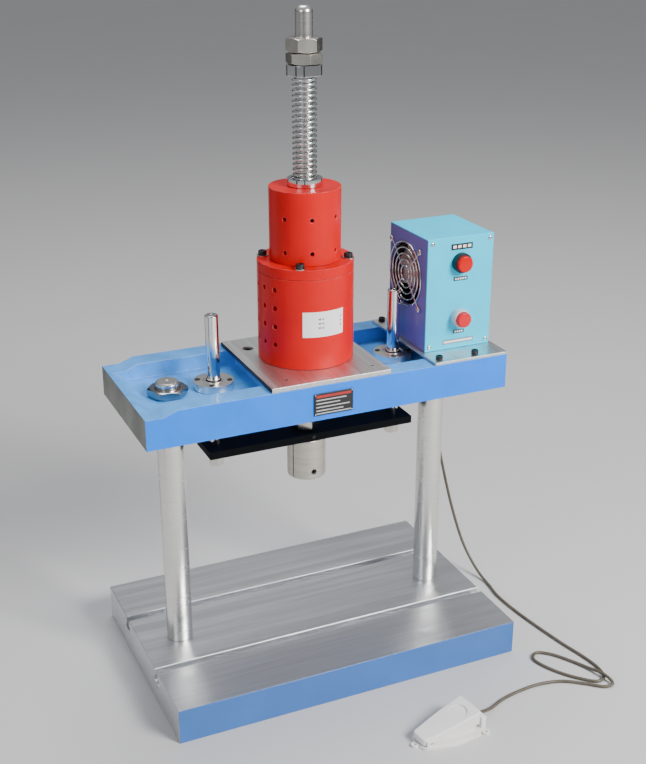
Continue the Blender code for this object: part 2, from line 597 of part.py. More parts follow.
def build_solenoid(mats):
    outer, inner = COIL_DIAMETER / 2, COIL_DIAMETER / 2 - COIL_WALL
    housing = turned("coil_housing", tube_profile(outer, inner, COIL_Z, COIL_Z + COIL_HEIGHT, 0.8 * MM),
                     mats["red"], sides=BIG, closed=True)
    for side, flip in (("left", 1), ("right", -1)):
        for angle in COIL_VENT_ANGLES:
            for row in range(COIL_VENT_ROWS):
                z = COIL_Z + COIL_VENT_FIRST + row * COIL_VENT_PITCH
                start, end = around(inner - 2 * MM, flip * angle), around(outer + 2 * MM, flip * angle)
                combine(housing, rod_cutter(f"cut_{side}_vent_{angle}_{row}", COIL_VENT / 2,
                                            (*start, z), (*end, z), HOLE))
    screw_low = COVER_Z - GAP - COVER_SCREW_GRIP - 2 * MM
    cover = turned("coil_cover", tube_profile(outer, PLUNGER_DIAMETER / 2 + MM, COVER_Z,
                                              COVER_Z + COVER_THICKNESS, 0.8 * MM),
                   mats["red"], sides=BIG, closed=True)
    head_z = COVER_Z + COVER_THICKNESS + GAP
    for k, angle in enumerate(COVER_SCREW_ANGLES, 1):
        x, y = around(COVER_SCREW_CIRCLE / 2, angle)
        for piece in (housing, cover):
            hole = rod_cutter(f"cut_{piece.name}_screw_{k}", COVER_SCREW / 2 + GAP, (x, y, screw_low),
                              (x, y, head_z + MM))
            combine(piece, hole)
        socket_screw(f"cover_screw_{k}", COVER_SCREW, COVER_SCREW_HEAD, COVER_SCREW_HEAD_HEIGHT,
                     COVER_THICKNESS + GAP + COVER_SCREW_GRIP, (x, y, head_z), mats["black_steel"])
    winding = tube_profile(WINDING_DIAMETER / 2, WINDING_BORE / 2, COIL_Z, COIL_Z + WINDING_HEIGHT, 2 * MM)
    turned("coil_winding", winding, mats["copper"], sides=MEDIUM, closed=True)
    running = ROD_DIAMETER / 2 + GAP
    turned("pole_piece", tube_profile(PLUNGER_DIAMETER / 2, running, COIL_Z, COIL_Z + POLE_HEIGHT, MM),
           mats["steel"], closed=True)
    r, bore = SHELL_DIAMETER / 2, SHELL_DIAMETER / 2 - SHELL_WALL
    top, roof = SHELL_Z + SHELL_HEIGHT, SHELL_Z + SHELL_HEIGHT - SHELL_ROOF
    shell = turned("armature_housing",
                   [(bore, SHELL_Z), (r, SHELL_Z), (r, top - MM), (r - MM, top), (running, top),
                    (running, roof), (bore, roof)], mats["red"], sides=BIG, closed=True)
    for row, rise in enumerate(SHELL_VENT_ROWS):
        for k in range(SHELL_VENT_COUNT):
            angle = SHELL_VENT_PHASE + 360 * k / SHELL_VENT_COUNT
            start, end = around(bore - 2 * MM, angle), around(r + 2 * MM, angle)
            combine(shell, rod_cutter(f"cut_shell_vent_{row}_{k}", SHELL_VENT / 2,
                                      (*start, SHELL_Z + rise), (*end, SHELL_Z + rise), HOLE))
    recess = COLLAR_Z + COLLAR_HEIGHT - COLLAR_RECESS_DEPTH
    turned("spring_collar",
           [(running, COLLAR_Z), (COLLAR_DIAMETER / 2, COLLAR_Z),
            (COLLAR_DIAMETER / 2, COLLAR_Z + COLLAR_HEIGHT - MM),
            (COLLAR_DIAMETER / 2 - MM, COLLAR_Z + COLLAR_HEIGHT),
            (COLLAR_RECESS / 2, COLLAR_Z + COLLAR_HEIGHT), (COLLAR_RECESS / 2, recess), (running, recess)],
           mats["bright"], closed=True)


def socket_screw(name, thread, head, head_height, length, place, mat):
    """A socket cap screw: head over the place, shank under it, hexagon socket in the head."""
    edge = 0.5 * MM
    ob = turned(name, [(0, -length), (thread / 2, -length), (thread / 2, 0), (head / 2, 0),
                       (head / 2, head_height - edge), (head / 2 - edge, head_height), (0, head_height)],
                mat, sides=SMALL, place=place)
    socket = cutter(f"cut_{name}_socket", prism_bm(hexagon(thread * 0.83), head_height * 0.45, head_height + MM))
    socket.parent = ob
    return combine(ob, socket)


# ---------------------------------------------------------------- ram and what moves with it
def build_ram(mats):
    r, fit = ROD_DIAMETER / 2, ROD_DIAMETER / 2 + GAP
    nose = ROD_NOSE_RADIUS
    steps = [(r - nose + nose * cos(radians(a)), ROD_TOP - nose + nose * sin(radians(a))) for a in (0, 30, 60, 90)]
    turned("ram_rod", [(0, ROD_BOTTOM), (r - MM, ROD_BOTTOM), (r, ROD_BOTTOM + MM), *steps, (0, ROD_TOP)],
           mats["bright"], sides=MEDIUM)
    turned("plunger", tube_profile(PLUNGER_DIAMETER / 2, fit, PLUNGER_Z, PLUNGER_TOP, MM), mats["steel"],
           closed=True)
    turned("spring_seat", tube_profile(SEAT_DIAMETER / 2, fit, SEAT_Z, SEAT_Z + SEAT_HEIGHT, MM),
           mats["bright"], closed=True)
    nut("lower_ram_nut", RAM_NUT_FLATS, LOWER_NUT_HEIGHT, fit, mats["zinc"], (0, 0, LOWER_NUT_Z), 26)
    nut("upper_ram_nut", RAM_NUT_FLATS, UPPER_NUT_HEIGHT, fit, mats["zinc"], (0, 0, UPPER_NUT_Z), 48)
    build_spring("return_spring", SPRING_DIAMETER, SPRING_WIRE, SPRING_LENGTH, SPRING_TURNS, 10, 5,
                 mats["bright"]).location = (0, 0, SPRING_Z)
    half, w = CROSSHEAD_LENGTH / 2, CROSSHEAD_WIDTH / 2
    head = box("crosshead", -half, half, -w, w, CROSSHEAD_Z, CROSSHEAD_TOP, mats["black_steel"], bevel=EDGE)
    bores = [("ram", 0, fit), ("left_bolt", -GUIDE_X, GUIDE_BOLT / 2 + GAP),
             ("right_bolt", GUIDE_X, GUIDE_BOLT / 2 + GAP)]
    for tag, x, radius in bores:
        combine(head, rod_cutter(f"cut_crosshead_{tag}", radius, (x, 0, CROSSHEAD_Z - MM),
                                 (x, 0, CROSSHEAD_TOP + MM), MEDIUM))
    nut("crosshead_nut", CENTRE_NUT_FLATS, CENTRE_NUT_HEIGHT, fit, mats["zinc"], (0, 0, CROSSHEAD_TOP + GAP), 30)
    for tag, x in (("left", -GUIDE_X), ("right", GUIDE_X)):
        build_guide(tag, x, mats)
    build_holder(mats)


def build_spring(name, diameter, wire, length, turns, per_turn, sides, mat):
    """A helical compression spring along Z from 0 to its length, wire ends cut flat."""
    bm = bmesh.new()
    r, radius = wire / 2, (diameter - wire) / 2
    rise = length - wire
    count = turns * per_turn
    rings = []
    pitch = atan2(rise / turns, 2 * pi * radius)
    for k in range(count + 1):
        a = 2 * pi * k / per_turn
        centre = Vector((radius * cos(a), radius * sin(a), r + rise * k / count))
        out = Vector((cos(a), sin(a), 0))
        up = Vector((sin(a) * sin(pitch), -cos(a) * sin(pitch), cos(pitch)))
        turn = [2 * pi * j / sides for j in range(sides)]
        reach = r if 0 < k < count else r * 0.999
        rings.append([bm.verts.new(centre + reach * (cos(t) * out + sin(t) * up)) for t in turn])
    for low, high in zip(rings, rings[1:]):
        for j in range(sides):
            n = (j + 1) % sides
            bm.faces.new((low[j], low[n], high[n], high[j]))
    bm.faces.new(rings[0][::-1])
    bm.faces.new(rings[-1])
    return link(name, bm, mat, smooth=60)


def build_guide(tag, x, mats):
    """One guide rod on the crosshead, its bolt from below, and its flanged bushing in the beam."""
    r, bolt = GUIDE_DIAMETER / 2, GUIDE_BOLT / 2
    low = CROSSHEAD_TOP + GAP
    top, bore_top = low + GUIDE_LENGTH, low + GUIDE_BOLT_THREAD + 2 * MM
    turned(f"{tag}_guide_rod",
           [(bolt + GAP, low), (r, low), (r, top - MM), (r - MM, top), (0, top), (0, bore_top),
            (bolt + GAP, bore_top)], mats["bright"], sides=MEDIUM, closed=True, place=(x, 0, 0))
    flange_top = CROSSHEAD_Z - GAP
    flange_low = flange_top - GUIDE_BOLT_FLANGE_HEIGHT
    screw = turned(f"{tag}_guide_bolt",
                   [(0, flange_low), (GUIDE_BOLT_FLANGE / 2, flange_low), (GUIDE_BOLT_FLANGE / 2, flange_top),
                    (bolt, flange_top), (bolt, low + GUIDE_BOLT_THREAD), (0, low + GUIDE_BOLT_THREAD)],
                   mats["zinc"], sides=MEDIUM, place=(x, 0, 0))
    head = cutter(f"add_{tag}_bolt_head", prism_bm(hexagon(GUIDE_BOLT_FLATS, 20), flange_low - GUIDE_BOLT_HEAD,
                                                   flange_low + MM))
    head.location = (x, 0, 0)
    combine(screw, head, "UNION")
    seat, body = TRAY_Z + GAP, BUSHING_BODY / 2
    flange, run = BUSHING_FLANGE / 2, r + GAP
    bush = turned(f"{tag}_guide_bushing",
                  [(run, BEAM_Z), (body, BEAM_Z), (body, seat), (flange, seat),
                   (flange, seat + BUSHING_FLANGE_HEIGHT - MM), (flange - MM, seat + BUSHING_FLANGE_HEIGHT),
                   (run + MM, seat + BUSHING_FLANGE_HEIGHT), (run, seat + BUSHING_FLANGE_HEIGHT - MM)],
                  mats["bright"], sides=ROUND, closed=True, place=(x, 0, 0))
    top = seat + BUSHING_FLANGE_HEIGHT
    for k in range(4):
        px, py = around(BUSHING_SCREW_CIRCLE / 2, 90 * k - 20 + 45, (x, 0))
        combine(bush, rod_cutter(f"cut_{tag}_bush_{k}", BUSHING_SCREW_HOLE / 2, (px, py, top - BUSHING_SCREW_DEPTH),
                                 (px, py, top + MM)))


def build_holder(mats):
    """The split tool holder: it grips the rod's end and has a socket for the punch's shank."""
    r, socket, c = HOLDER_DIAMETER / 2, HOLDER_SOCKET / 2, 1.2 * MM
    grip = ROD_DIAMETER / 2 + GAP
    shelf = HOLDER_Z + HOLDER_SOCKET_DEPTH
    holder = turned("tool_holder",
                    [(socket, HOLDER_Z), (r - c, HOLDER_Z), (r, HOLDER_Z + c), (r, HOLDER_TOP - c),
                     (r - c, HOLDER_TOP), (grip, HOLDER_TOP), (grip, shelf), (socket, shelf)],
                    mats["zinc"], sides=ROUND, closed=True)
    slit = box_bm(0, r + 5 * MM, -HOLDER_SLIT / 2, HOLDER_SLIT / 2, HOLDER_Z - MM, HOLDER_TOP + MM)
    x, y = around(1, HOLDER_SLIT_ANGLE)
    slit.transform(Matrix.Rotation(atan2(y, x), 4, "Z"))
    combine(holder, cutter("cut_holder_slit", slit))
    z = HOLDER_Z + SET_SCREW_RISE
    combine(holder, rod_cutter("cut_set_screw", SET_SCREW / 2 + GAP, (0, -r - MM, z), (0, -socket + MM, z)))
    length = r - socket - 3 * MM
    turned("set_screw", rod_profile(SET_SCREW / 2, 0, length, 0.5 * MM), mats["black_steel"], sides=SMALL,
           place=(0, -socket - MM, z), turn=(radians(90), 0, 0))


# ---------------------------------------------------------------- control box
def build_control_box(mats):
    x0, x1 = BRACKET_LEFT, BEAM_RIGHT
    top = BRACKET_Z + BRACKET_THICKNESS
    bracket = box("bracket_plate", x0, x1, BEAM_FRONT, BEAM_FRONT + BRACKET_DEPTH, BRACKET_Z, top, mats["steel"])
    for tag, x, y in bracket_screw_places():
        combine(bracket, rod_cutter(f"cut_bracket_{tag}", BRACKET_SCREW / 2 + GAP, (x, y, BRACKET_Z - MM),
                                    (x, y, top + MM)))
        socket_screw(f"bracket_screw_{tag}", BRACKET_SCREW, BRACKET_SCREW_HEAD, BRACKET_SCREW_HEAD_HEIGHT,
                     BRACKET_THICKNESS + GAP + BRACKET_SCREW_GRIP, (x, y, top + GAP), mats["black_steel"])
    panel_back = BOX_FRONT + SHEET
    case = box("enclosure", BOX_LEFT, BOX_RIGHT, panel_back + GAP, BOX_BACK, BOX_Z, BOX_TOP, mats["blue"])
    combine(case, cutter("cut_case_inside", box_bm(BOX_LEFT + SHEET, BOX_RIGHT - SHEET, panel_back - MM,
                                                   BOX_BACK - SHEET, BOX_Z + SHEET, BOX_TOP - SHEET)))
    combine(case, rod_cutter("cut_fan_opening", FAN_DUCT / 2, (BOX_LEFT - MM, FAN_CENTRE_Y, FAN_Z),
                             (BOX_LEFT + SHEET + MM, FAN_CENTRE_Y, FAN_Z), ROUND))
    gland_z = BOX_Z + GLAND_RISE
    combine(case, rod_cutter("cut_gland_hole", GLAND_THREAD / 2 + GAP, (GLAND_X, BOX_BACK - SHEET - MM, gland_z),
                             (GLAND_X, BOX_BACK + MM, gland_z), SMALL))
    panel = box("front_panel", BOX_LEFT, BOX_RIGHT, BOX_FRONT, panel_back, BOX_Z, BOX_TOP, mats["panel"])
    buttons = (("power", POWER_RISE, POWER_BEZEL, POWER_BEZEL_HEIGHT, POWER_CAP, POWER_CAP_PROUD),
               ("lamp", LAMP_RISE, LAMP_BEZEL, LAMP_BEZEL_HEIGHT, LAMP_CAP, LAMP_CAP_PROUD))
    for tag, rise, *sizes in buttons:
        z = BOX_Z + rise
        combine(panel, rod_cutter(f"cut_{tag}_hole", BUTTON_BARREL / 2 + GAP, (BUTTON_X, BOX_FRONT - MM, z),
                                  (BUTTON_X, panel_back + MM, z), SMALL))
        build_button(tag, z, *sizes, mats)
    build_fan(mats)
    r, thread = GLAND_DIAMETER / 2, GLAND_THREAD / 2
    turned("cable_gland",
           [(0, -8 * MM), (thread, -8 * MM), (thread, GAP), (r, GAP), (r, 6 * MM), (r * 0.9, GLAND_LENGTH - 2 * MM),
            (r * 0.6, GLAND_LENGTH + GAP), (0, GLAND_LENGTH + GAP)],
           mats["black"], sides=SMALL, place=(GLAND_X, BOX_BACK, gland_z), turn=(radians(-90), 0, 0))
    w, d, h = UNIT_SIZE
    cx, low = (BOX_LEFT + BOX_RIGHT) / 2, BOX_Z + SHEET + GAP
    y0 = panel_back + BUTTON_BARREL_LENGTH + 4 * MM
    box("control_unit", cx - w / 2, cx + w / 2, y0, y0 + d, low, low + h, mats["board"])


def build_button(tag, z, bezel, height, cap_diameter, proud, mats):
    """A push button on the panel: fixed bezel and barrel, and a cap that slides in along +Y."""
    outer, cap, barrel = bezel / 2, cap_diameter / 2, BUTTON_BARREL / 2
    stem = barrel - 4 * MM
    back = SHEET + BUTTON_BARREL_LENGTH
    well = BUTTON_TRAVEL + 2 * GAP
    bore = cap + GAP
    turned(f"{tag}_button_bezel",
           [(stem + GAP, -back), (barrel, -back), (barrel, GAP), (outer, GAP), (outer, height - MM),
            (outer - MM, height), (bore, height), (bore, GAP + MM), (stem + GAP, GAP + MM)],
           mats["black"], sides=MEDIUM, closed=True, place=(BUTTON_X, BOX_FRONT, z), turn=(radians(90), 0, 0))
    low, top = GAP + MM + well, height + proud
    turned(f"{tag}_button_cap",
           [(0, -back + well), (stem, -back + well), (stem, low), (cap, low), (cap, top - MM), (cap - MM, top),
            (0, top)],
           mats["button"], sides=MEDIUM, place=(BUTTON_X, BOX_FRONT, z), turn=(radians(90), 0, 0))


def build_fan(mats):
    """The fan on the left wall: frame inside, rotor in its duct, wire guard outside."""
    centre = (0, FAN_CENTRE_Y, FAN_Z)
    x0 = BOX_LEFT + SHEET + GAP
    x1, half, duct = x0 + FAN_DEPTH, FAN_SIZE / 2, FAN_DUCT / 2
    frame = box("fan_frame", x0, x1, FAN_CENTRE_Y - half, FAN_CENTRE_Y + half, FAN_Z - half, FAN_Z + half,
                mats["black"])
    combine(frame, rod_cutter("cut_duct", duct, (x0 - MM, *centre[1:]), (x1 + MM, *centre[1:]), ROUND))
    motor = turned_bm(rod_profile(FAN_HUB / 2, 0, 3 * MM), MEDIUM)
    motor.transform(Matrix.Translation((x1 - 3 * MM, *centre[1:])) @ Matrix.Rotation(radians(90), 4, "Y"))
    combine(frame, cutter("add_motor_plate", motor), "UNION")
    for k in range(2):
        strut = box_bm(-2.5 * MM, 0, -duct - MM, duct + MM, -2 * MM, 2 * MM)
        strut.transform(Matrix.Translation((x1 - 0.25 * MM, *centre[1:])) @ Matrix.Rotation(radians(45 + 90 * k), 4, "X"))
        combine(frame, cutter(f"add_strut_{k}", strut), "UNION")
    rotor_depth = FAN_DEPTH - 6 * MM
    rotor = turned("fan_rotor", rod_profile(FAN_HUB / 2, 0, rotor_depth, MM), mats["black"], sides=MEDIUM,
                   place=(x0 + 2 * MM, *centre[1:]), turn=(0, radians(90), 0))
    inner, outer = FAN_HUB / 2 - 2 * MM, duct - 1.5 * MM
    for k in range(FAN_BLADES):
        blade = box_bm(inner, outer, -0.8 * MM, 0.8 * MM, 1.5 * MM, rotor_depth - 1.5 * MM)
        lean = Matrix.Translation((0, 0, rotor_depth / 2)) @ Matrix.Rotation(radians(38), 4, "X") @ \
            Matrix.Translation((0, 0, -rotor_depth / 2))
        blade.transform(Matrix.Rotation(2 * pi * k / FAN_BLADES, 4, "Z") @ lean)
        add = cutter(f"add_blade_{k}", blade)
        add.parent = rotor
        combine(rotor, add, "UNION")
    build_guard(mats)


def build_guard(mats):
    """Wire guard: rings on four diagonal arms, each arm ending in a flat screw eye."""
    wire = GUARD_WIRE / 2
    x = BOX_LEFT - GAP - wire
    place = Matrix.Translation((x, FAN_CENTRE_Y, FAN_Z)) @ Matrix.Rotation(radians(90), 4, "Y")
    reach = hypot(FAN_SCREW_SPACING, FAN_SCREW_SPACING) / 2
    hole = FAN_SCREW_HOLE / 2
    eye, arm_start, thin = hole + 1.6 * MM, GUARD_RINGS[0] - 0.4 * wire, 0.8 * wire
    guard = None
    for k, radius in enumerate(GUARD_RINGS):
        section = [2 * pi * (j + 0.5) / 5 for j in range(5)]
        ring = turned_bm([(radius + wire * cos(t), wire * sin(t)) for t in section],
                         MEDIUM, closed=True, phase=0.11)
        ring.transform(place)
        if guard is None:
            guard = link("fan_guard", ring, mats["bright"], smooth=40)
        else:
            combine(guard, cutter(f"add_guard_ring_{k}", ring), "UNION")
    for k in range(4):
        diagonal = place @ Matrix.Rotation(radians(45 + 90 * k), 4, "Z")
        arm = turned_bm(rod_profile(thin, arm_start, reach - hole - 0.4 * MM), 6)
        arm.transform(diagonal @ Matrix.Rotation(radians(90), 4, "Y") @ Matrix.Rotation(0.2, 4, "Z"))
        combine(guard, cutter(f"add_guard_arm_{k}", arm), "UNION")
        ear = turned_bm(tube_profile(eye, hole, -0.6 * wire, 0.6 * wire), 12, closed=True)
        ear.transform(diagonal @ Matrix.Translation((reach, 0, 0)))
        combine(guard, cutter(f"add_guard_eye_{k}", ear), "UNION")


# ---------------------------------------------------------------- foot switch
def switch_frame():
    return Matrix.Translation((*SWITCH_PLACE, 0)) @ Matrix.Rotation(radians(SWITCH_TURN), 4, "Z")


def pedal_outline(inset):
    """The pedal's plan, wider at the cable's end, corners rounded; inset moves it inwards."""
    half, w0, w1 = PEDAL_LENGTH / 2 - inset, PEDAL_FRONT_WIDTH / 2 - inset, PEDAL_REAR_WIDTH / 2 - inset
    middle = (w0 + w1) / 2 + 1.5 * MM
    c = 3 * MM
    side = [(-half, w0 - c), (-half + c * 0.3, w0 - c * 0.3), (-half + c, w0), (0, middle),
            (half - c, w1), (half - c * 0.3, w1 - c * 0.3), (half, w1 - c)]
    return [(x, -y) for x, y in side] + side[::-1]


def slope(low, high):
    return lambda x, y: low + (high - low) * (x + PEDAL_LENGTH / 2) / PEDAL_LENGTH


def switch_outline():
    """The floor plate's plan: a rounded wedge, full width along its rear half."""
    half, front, rear = PEDAL_LENGTH / 2, SWITCH_FRONT_WIDTH / 2, SWITCH_WIDTH / 2
    side = [(-half - 1.5 * MM, front - 5 * MM), (-half + 1 * MM, front), (-4 * MM, rear - 0.6 * MM),
            (4 * MM, rear), (half - 8 * MM, rear), (half + ENTRY_SWING + 2 * MM, ENTRY_WIDTH / 2 + 2 * MM)]
    return [(x, -y) for x, y in side] + side[::-1]


def cheek_outline(side):
    """Plan of one guard, standing just clear of the pedal's side; side is -1 for the near one."""
    run = PEDAL_LENGTH / 2 - 3 * MM
    w0 = PEDAL_FRONT_WIDTH / 2
    lean = ((w0 + PEDAL_REAR_WIDTH / 2) / 2 + 1.5 * MM - w0) / run
    start, end = -run, -PEDAL_LENGTH / 2 + CHEEK_LENGTH
    clear = w0 + 2 * GAP
    inner = [(start, clear), (end, clear + lean * (end - start))]
    plan = inner + [(x, y + CHEEK_THICKNESS) for x, y in reversed(inner)]
    return plan if side > 0 else [(x, -y) for x, y in reversed(plan)]


def build_foot_switch(mats):
    frame = switch_frame()
    half, gap = PEDAL_LENGTH / 2, PEDAL_WALL + 1.5 * MM
    pivot = Vector((-half + PIVOT_INSET, 0, PIVOT_HEIGHT))
    build_pedal(frame, pivot, mats)
    base = link("footswitch_base", prism_bm(switch_outline(), 0, SWITCH_FLOOR), mats["cream"])
    base.matrix_world = frame
    front, entry = half + ENTRY_SWING, ENTRY_WIDTH / 2
    pieces = [
        ("add_switch_wall", prism_bm(pedal_outline(gap), SWITCH_FLOOR - MM,
                                     slope(PEDAL_FRONT_SKIRT + MM, SWITCH_WALL_REAR))),
        ("cut_switch_hollow", prism_bm(pedal_outline(gap + SWITCH_WALL), SWITCH_FLOOR, SWITCH_WALL_REAR * 2)),
        ("add_switch_entry", box_bm(front, front + ENTRY_LENGTH, -entry, entry, 0, ENTRY_TOP)),
    ]
    for side in (-1, 1):
        cheek = cheek_outline(side)
        pieces.append((f"add_switch_cheek_{side + 1}", prism_bm(cheek, SWITCH_FLOOR - MM, CHEEK_HEIGHT)))
    for side in (-1, 1):
        y = sorted((side * (PIN_LENGTH / 2 - 3 * MM), side * PIN_LENGTH / 2))
        boss = box_bm(pivot.x - 3 * MM, pivot.x + 3 * MM, *y, SWITCH_FLOOR - MM, pivot.z + 2.8 * MM)
        pieces.append((f"add_switch_boss_{side + 1}", boss))
    pieces.append(("cut_pin_bore", turned_bm(rod_profile(PIN_DIAMETER / 2 + GAP, -PIN_LENGTH, PIN_LENGTH), SMALL)))
    pieces[-1][1].transform(Matrix.Translation(pivot) @ Matrix.Rotation(radians(90), 4, "X"))
    rear_lug = (half + 4 * MM, SWITCH_WIDTH / 2 - MM)
    for k, (x, y) in enumerate(((-half - 4.5 * MM, 0), rear_lug, (rear_lug[0], -rear_lug[1]))):
        lug = turned_bm(rod_profile(LUG_DIAMETER / 2, 0, SWITCH_FLOOR), SMALL)
        hole = turned_bm(rod_profile(LUG_HOLE / 2, -MM, SWITCH_FLOOR + MM), HOLE)
        for label, bm in (("add", lug), ("cut", hole)):
            bm.transform(Matrix.Translation((x, y, 0)))
            pieces.append((f"{label}_switch_lug_{k}", bm))
    for label, bm in pieces:
        piece = cutter(label, bm)
        piece.parent = base
        combine(base, piece, "UNION" if label.startswith("add") else "DIFFERENCE")
    pin = turned("pedal_pin", rod_profile(PIN_DIAMETER / 2, -PIN_LENGTH / 2, PIN_LENGTH / 2), mats["bright"],
                 sides=SMALL)
    pin.matrix_world = frame @ Matrix.Translation(pivot) @ Matrix.Rotation(radians(90), 4, "X")
    width, wire = 4.4 * MM, 0.8 * MM
    coil = build_spring("pedal_spring", PIN_DIAMETER + 2 * wire + 4 * GAP, wire, width, 4, 9, 5, mats["bright"])
    coil.matrix_world = frame @ Matrix.Translation(pivot) @ Matrix.Rotation(radians(90), 4, "X") @ \
        Matrix.Translation((0, 0, -width / 2))


def build_pedal(frame, pivot, mats):
    """The treadle: a wedge-shaped cover open below, with two ears on the pin at its low end."""
    joint = bpy.data.objects.new("pedal_joint", None)
    bpy.context.scene.collection.objects.link(joint)
    joint.matrix_world = frame @ Matrix.Translation(pivot)
    top = slope(PEDAL_FRONT_HEIGHT, PEDAL_REAR_HEIGHT)
    skirt = slope(PEDAL_FRONT_SKIRT, PEDAL_REAR_SKIRT)
    outer = prism_bm(pedal_outline(0), skirt, top)
    inner = prism_bm(pedal_outline(PEDAL_WALL), lambda x, y: skirt(x, y) - 5 * MM,
                     lambda x, y: top(x, y) - PEDAL_WALL)
    shift = Matrix.Translation(-pivot)
    outer.transform(shift)
    inner.transform(shift)
    pedal = link("footswitch_pedal", outer, mats["cream"])
    pedal.parent = joint
    hollow = cutter("cut_pedal_inside", inner)
    hollow.parent = joint
    combine(pedal, hollow)
    ear_y0, ear_y1 = 2.2 * MM + GAP, PIN_LENGTH / 2 - 3 * MM - GAP
    ear_top = top(pivot.x, 0) - pivot.z - PEDAL_WALL / 2
    lower = [radians(180 + 30 * k) for k in range(7)]
    ear_outline = [(EAR_RADIUS * cos(a), EAR_RADIUS * sin(a)) for a in lower]
    ear_outline += [(EAR_RADIUS, ear_top), (-EAR_RADIUS, ear_top)]
    for k, side in enumerate((-1, 1)):
        y = sorted((side * ear_y0, side * ear_y1))
        ear = side_prism_bm(ear_outline, *y)
        piece = cutter(f"add_pedal_ear_{k}", ear)
        piece.parent = joint
        combine(pedal, piece, "UNION")
    bore = rod_cutter("cut_ear_bore", PIN_DIAMETER / 2 + GAP, (0, -ear_y1 - MM, 0), (0, ear_y1 + MM, 0), SMALL)
    bore.parent = joint
    combine(pedal, bore)


# ---------------------------------------------------------------- the foot switch's cable
def smooth_route(route, spacings, floor):
    """Reads points off a centripetal Catmull-Rom curve through the route, none of them under the floor."""
    pts = [Vector(p) for p in route]
    pts = [2 * pts[0] - pts[1], *pts, 2 * pts[-1] - pts[-2]]
    out = []
    for k in range(1, len(pts) - 2):
        p0, p1, p2, p3 = pts[k - 1:k + 3]
        t0 = 0.0
        t1 = t0 + sqrt((p1 - p0).length)
        t2 = t1 + sqrt((p2 - p1).length)
        t3 = t2 + sqrt((p3 - p2).length)
        steps = max(1, round((p2 - p1).length / spacings[k - 1]))
        for s in range(steps):
            t = t1 + (t2 - t1) * s / steps
            a1 = p0.lerp(p1, (t - t0) / (t1 - t0))
            a2 = p1.lerp(p2, (t - t1) / (t2 - t1))
            a3 = p2.lerp(p3, (t - t2) / (t3 - t2))
            b1 = a1.lerp(a2, (t - t0) / (t2 - t0))
            b2 = a2.lerp(a3, (t - t1) / (t3 - t1))
            out.append(b1.lerp(b2, (t - t1) / (t2 - t1)))
    out.append(pts[-2])
    return [(x, y, max(z, floor)) for x, y, z in out]


def build_cable(mats):
    lie = CABLE_DIAMETER / 2 + 0.1 * MM
    start = Vector((GLAND_X, BOX_BACK + GLAND_LENGTH + 2 * GAP, BOX_Z + GLAND_RISE))
    entry = PEDAL_LENGTH / 2 + ENTRY_SWING + ENTRY_LENGTH + GAP
    end = switch_frame() @ Vector((entry, 0, ENTRY_HEIGHT))
    lead = switch_frame() @ Vector((entry + 8 * MM, 0, ENTRY_HEIGHT - 1.5 * MM))
    hang = [(204, 72, 411), (207, 90, 402), (213, 102, 378), (222, 108, 335), (236, 106, 262),
            (250, 98, 170), (262, 76, 86), (271, 55, 38), (279, 30, 10)]
    floor = [(281, 6), (277, -25), (278, -62), (284, -112), (293, -165), (301, -202), (303, -228), (298, -245),
             (286, -249), (270, -236), (254, -216), (242, -192), (239, -175), (249, -166), (263, -174),
             (279, -197)]
    lift = [(291, -222, lie + 1.0 * MM), (298, -247, lie + CABLE_DIAMETER + 0.6 * MM), (299, -262, lie + 1.2 * MM)]
    run = [(288, -262), (268, -246), (244, -230), (215, -224), (188, -225.5), (160, -231), (138, -240)]
    route = [tuple(start)] + [(x * MM, y * MM, z * MM) for x, y, z in hang]
    route += [(x * MM, y * MM, lie) for x, y in floor] + [(x * MM, y * MM, z) for x, y, z in lift]
    route += [(x * MM, y * MM, lie) for x, y in run] + [tuple(lead), tuple(end)]
    spacings = []
    for a, b in zip(route, route[1:]):
        low = a[2] < 20 * MM
        spacings.append(9 * MM if low and a[1] < -190 * MM and a[0] > 230 * MM else 19 * MM)
    points = smooth_route(route, spacings, lie)
    curve = bpy.data.curves.new("footswitch_cable", "CURVE")
    curve.dimensions = "3D"
    curve.bevel_depth = CABLE_DIAMETER / 2
    curve.bevel_resolution = 2
    curve.use_fill_caps = True
    curve.resolution_u = 1
    spline = curve.splines.new("POLY")
    spline.points.add(len(points) - 1)
    for point, p in zip(spline.points, points):
        point.co = (*p, 1.0)
    curve.materials.append(mats["cable"])
    ob = bpy.data.objects.new("footswitch_cable", curve)
    bpy.context.scene.collection.objects.link(ob)


def main():
    clear_scene()
    mats = make_materials()
    build_base(mats)
    build_beam(mats)
    build_mounting_plate(mats)
    build_solenoid(mats)
    build_ram(mats)
    build_control_box(mats)
    build_foot_switch(mats)
    build_cable(mats)


main()
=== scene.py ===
"""Looks of the electromagnetic bench press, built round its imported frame. Sizes are in millimetres."""

from math import atan2, cos, hypot, pi, radians, sin, sqrt

import bmesh
import bpy
from mathutils import Euler, Matrix, Vector


